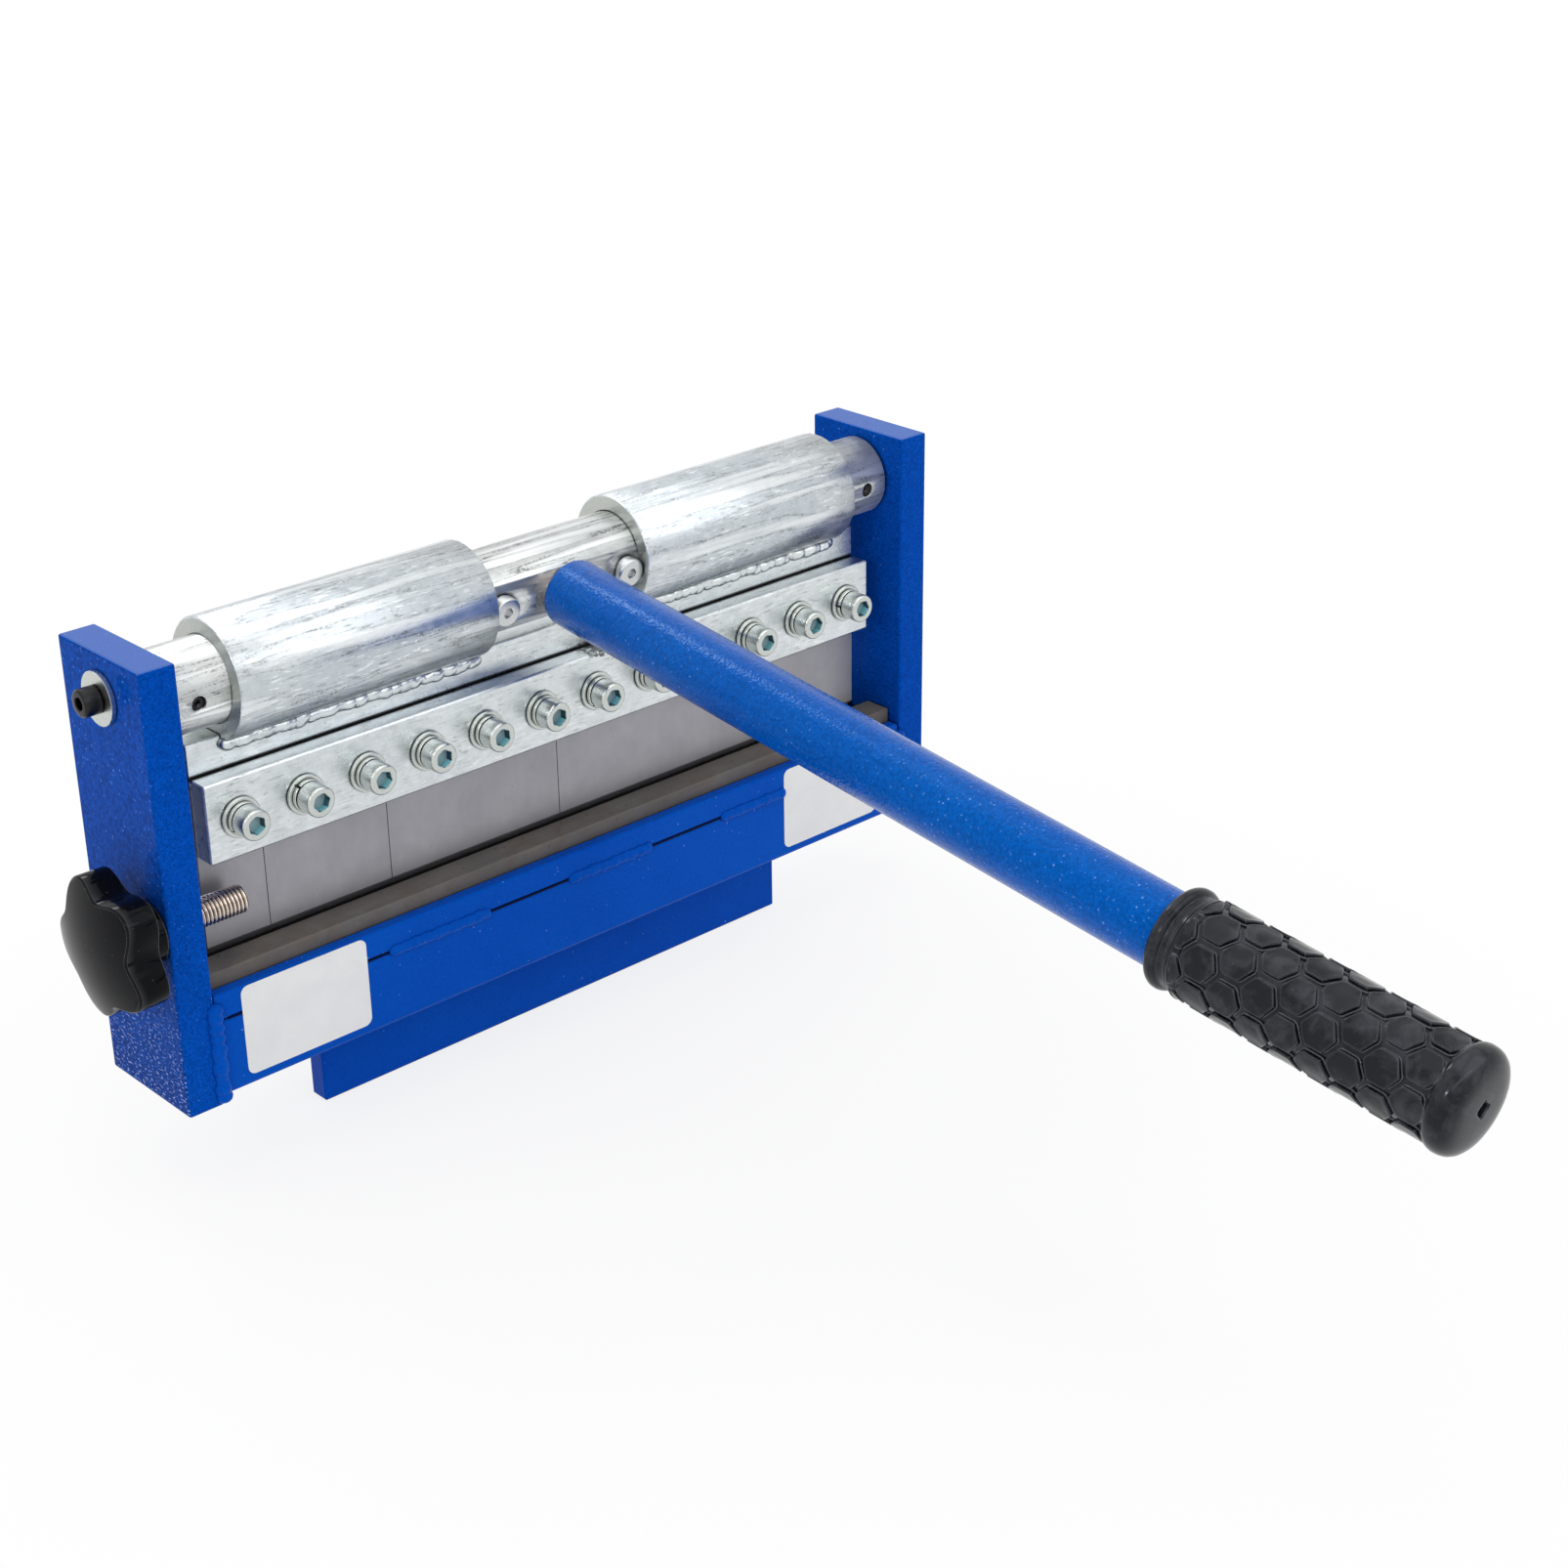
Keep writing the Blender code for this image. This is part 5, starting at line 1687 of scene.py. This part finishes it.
@dataclass
class Stop:
    """The threaded stop stud and the star knob that turns it."""

    thread_pitch: float = 0.00175
    thread_depth: float = 0.00107
    rows_per_turn: int = 10
    point_length: float = 0.0012
    point_depth: float = 0.0011
    sides: int = 48
    knob_sides: int = 160
    lobes: int = 5
    knob_radius: float = 0.030
    valley: float = 0.007
    fullness: float = 1.1
    lead: float = math.radians(-25)
    hub_bore: float = 0.0055
    hub_radius: float = 0.0125
    hub_length: float = 0.010
    rim: float = 0.013
    dome: float = 0.005
    knob_angle: float = math.radians(28)

    def make_stud(self, finish: Finishes) -> None:
        """Turn the stud's thread.

        Args:
            finish: every finish.
        """
        low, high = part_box("stop_stud")
        middle = (low + high) / 2
        radius = (high.z - low.z) / 2
        count = int((high.x - low.x) / self.thread_pitch * self.rows_per_turn)
        rings = []
        for row in range(count + 1):
            x = low.x + (high.x - low.x) * row / count
            end = min(x - low.x, high.x - x) / self.point_length
            ring = []
            for side in range(self.sides):
                share = side / self.sides
                phase = ((x - low.x) / self.thread_pitch - share) % 1.0
                crest = min(1.0, max(0.0, 1.5 * abs(2 * phase - 1) - 0.25))
                depth = self.thread_depth * (1 - crest)
                reach = min(radius - depth, radius - self.point_depth * (1 - min(1.0, end)))
                y = middle.y + reach * math.cos(math.tau * share)
                z = middle.z + reach * math.sin(math.tau * share)
                # The recess share, fullest in the thread's roots, sets the painted shade there.
                ring.append((x, y, z, min(1.0, depth / self.thread_depth) ** 2))
            rings.append(ring)
        name = "stop_stud_threaded"
        mesh = ringed(name, rings, SOFT_ANGLE)
        add_piece(name, mesh, finish.bright, Body.STOP, ["stop_stud"])

    def knob_levels(self) -> list[list[Pair]]:
        """Radius and height above the seat of each ring's points, from the bore to the dome.

        Returns:
            The points of each ring.
        """
        hub, back = self.hub_radius, self.hub_length
        turns = [math.tau * index / self.knob_sides for index in range(self.knob_sides)]
        valleys = [((1 - math.cos(self.lobes * turn)) / 2) ** self.fullness for turn in turns]
        rims = [self.knob_radius * (1 - self.valley / self.knob_radius * share) for share in valleys]
        rounds = ((self.hub_bore, 0.0), (hub - 0.0006, 0.0), (hub, 0.0006), (hub, back))
        under = ((-0.0012, back), (-0.0003, back + 0.0003), (0.0, back + 0.0012))
        over = ((1.0, 0.0, -0.0007), (1.0, -0.00025, -0.0003), (1.0, -0.0007, 0.0))
        inward = [(share, -0.0007, 0.0) for share in (0.93, 0.82, 0.7, 0.56, 0.42, 0.28, 0.14, 0.04)]
        steps = [[pair] * self.knob_sides for pair in rounds]
        steps += [[(rim + inset, height) for rim in rims] for inset, height in under]
        for share, inset, drop in (*over, *inward):
            reaches = [share * (rim + inset) for rim in rims]
            crowns = [self.dome * (1 - (reach / self.knob_radius) ** 2) for reach in reaches]
            steps.append([(r, back + self.rim + crown + drop) for r, crown in zip(reaches, crowns)])
        return steps

    def make_knob(self, finish: Finishes) -> None:
        """Mould the knob: a hub against the plate, a lobed rim and a dome.

        Args:
            finish: every finish.
        """
        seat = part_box("star_knob")[1].x
        stud = centre("stop_stud")
        rings = []
        for points in self.knob_levels():
            ring = []
            for index, (radius, height) in enumerate(points):
                turn = math.tau * index / self.knob_sides + self.lead
                y = stud.y - radius * math.sin(turn)
                ring.append((seat - height, y, stud.z + radius * math.cos(turn), 0.0))
            rings.append(ring)
        name = "star_knob_moulded"
        mesh = ringed(name, rings, self.knob_angle)
        add_piece(name, mesh, finish.plastic, Body.KNOB, ["star_knob"])


def seen_straight(graph: Graph) -> Socket:
    """1 for rays from the camera, from gloss and through clear pieces, and 0 for the others.

    Args:
        graph: the graph to add the nodes to.

    Returns:
        The mask.
    """
    path = graph.add("ShaderNodeLightPath").outputs
    seen = graph.math("MAXIMUM", path["Is Camera Ray"], path["Is Glossy Ray"])
    return graph.math("MAXIMUM", seen, path["Is Transmission Ray"])


@dataclass
class Studio:
    """The floor, the lamps, the white surround and the camera."""

    camera_at: Triple = (-0.6587, -0.8542, 0.58165)
    azimuth: float = math.radians(-42.9998)
    elevation: float = math.radians(24.7864)
    roll: float = math.radians(0.6696)
    lens: float = 61.99
    sensor: float = 36.0
    floor_reach: float = 6.0
    floor_gap: float = 0.0004
    shade_middle: Triple = (-0.02, -0.15, 0.0)
    fade: Pair = (0.16, 0.45)
    near_white: float = 0.8
    ambient: float = 0.62
    lamps: tuple[tuple[str, Triple, float, Pair, float], ...] = (
        ("key_softbox", (0.7, -1.6, 1.7), 0.08, (1.8, 1.8), 9.0),
        ("top_softbox", (-0.2, 0.3, 2.0), 0.1, (2.0, 2.0), 9.0),
        ("left_softbox", (-1.7, -0.9, 1.1), 0.1, (0.16, 0.16), 4.0),
        ("back_softbox", (0.1, 1.5, 1.6), 0.1, (0.35, 0.35), 3.5),
        ("front_strip", (-0.4, -1.6, 1.2), 0.1, (1.6, 0.07), 2.5),
    )

    def make_camera(self) -> None:
        """Set the camera where the photograph was taken from."""
        data = bpy.data.cameras.new("front_left_camera")
        data.lens = self.lens
        data.sensor_width = self.sensor
        data.sensor_fit = "HORIZONTAL"
        data.clip_start = 0.02
        data.clip_end = 50.0
        camera = link(bpy.data.objects.new("front_left_camera", data))
        turn, lift = self.azimuth, self.elevation
        ahead = (math.sin(turn) * math.cos(lift), -math.cos(turn) * math.cos(lift), math.sin(lift))
        back = Vector(ahead)
        right = Vector((math.cos(turn), math.sin(turn), 0.0))
        up = back.cross(right)
        level, tilt = math.cos(self.roll), math.sin(self.roll)
        axes = Matrix((level * right - tilt * up, level * up + tilt * right, back))
        place = Matrix.Translation(self.camera_at)
        camera.matrix_world = place @ axes.transposed().to_4x4()
        bpy.context.scene.camera = camera

    def make_floor(self) -> None:
        """Lay the pale floor under the web, plain white to the camera away from the brake."""
        bm = bmesh.new()
        bmesh.ops.create_grid(bm, x_segments=4, y_segments=4, size=self.floor_reach)
        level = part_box("vise_web")[0].z - self.floor_gap
        bmesh.ops.translate(bm, verts=bm.verts, vec=(0, 0, level))
        mesh = settle(bm, "studio_floor", outward=False)
        floor = link(bpy.data.objects.new("studio_floor", mesh))
        made = Shader("studio_paper")
        graph = made.graph
        made.put(Base_Color=(0.93, 0.93, 0.93), Roughness=0.9, Specular_IOR_Level=0.0)
        ends = {0: made.place, 1: self.shade_middle}
        away = graph.out("ShaderNodeVectorMath", ends, "Value", operation="DISTANCE")
        fade = graph.ramp(away, *self.fade, self.near_white, 1.0)
        white = graph.out("ShaderNodeEmission", {"Color": (1.0, 1.0, 1.0), "Strength": 1.0})
        share = graph.times(seen_straight(graph), fade)
        mix = graph.out("ShaderNodeMixShader", {0: share, 1: made.bsdf.outputs[0], 2: white})
        graph.feed(graph.tree.nodes["Material Output"].inputs["Surface"], mix)
        mesh.materials.append(made.material)
        floor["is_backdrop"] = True

    def make_surround(self) -> None:
        """Light the scene evenly, and show plain white to the camera and to gloss."""
        world = bpy.data.worlds.new("studio_surround")
        world.use_nodes = True
        graph = Graph(world.node_tree)
        graph.tree.nodes.clear()
        strength = graph.ramp(seen_straight(graph), 0.0, 1.0, self.ambient, 1.0)
        sky = graph.out("ShaderNodeBackground", {"Color": (1.0, 1.0, 1.0), "Strength": strength})
        graph.add("ShaderNodeOutputWorld", {"Surface": sky})
        bpy.context.scene.world = world

    def add_lamp(self, name: str, place: Triple, aim: float, size: Pair, power: float) -> None:
        """Hang a softbox.

        Args:
            name: the lamp's name.
            place: where it hangs.
            aim: the height above the origin that it faces.
            size: its width and height.
            power: its power in watts.
        """
        data = bpy.data.lights.new(name, "AREA")
        data.shape = "RECTANGLE"
        data.size, data.size_y = size
        data.energy = power
        lamp = link(bpy.data.objects.new(name, data))
        lamp.location = place
        toward = Vector((0.0, 0.0, aim)) - Vector(place)
        lamp.rotation_euler = toward.to_track_quat("-Z", "Y").to_euler()

    def build(self) -> None:
        """Set up the whole studio."""
        self.make_camera()
        self.make_floor()
        self.make_surround()
        for lamp in self.lamps:
            self.add_lamp(*lamp)
        bpy.context.scene.view_settings.view_transform = "Standard"


def corners(box: tuple[Iterable[float], Iterable[float]]) -> list[list[float]]:
    """A box's two corners as plain lists."""
    return [[float(part) for part in corner] for corner in box]


def main() -> None:
    """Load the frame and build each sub-assembly in order."""
    logging.basicConfig(level=logging.INFO, format="%(name)s %(message)s")
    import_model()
    solid_box = corners(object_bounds())
    finish = Finishes()
    beads = bead_tree()
    rows = row_tree()
    bed = Bed()
    bed.dress(finish)
    bed.make_welds(beads, finish)
    bed.make_seam_shadows(finish)
    bed.make_labels(finish)
    Shaft().build(finish)
    Lever().build(pad_tree(), finish)
    ram = Ram()
    ram.dress(finish)
    ram.make_screws(rows, finish)
    ram.make_welds(beads, finish)
    stop = Stop()
    stop.make_stud(finish)
    stop.make_knob(finish)
    Studio().build()
    {"solid": solid_box, "dressed": corners(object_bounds())}


if __name__ == "__main__":
    main()
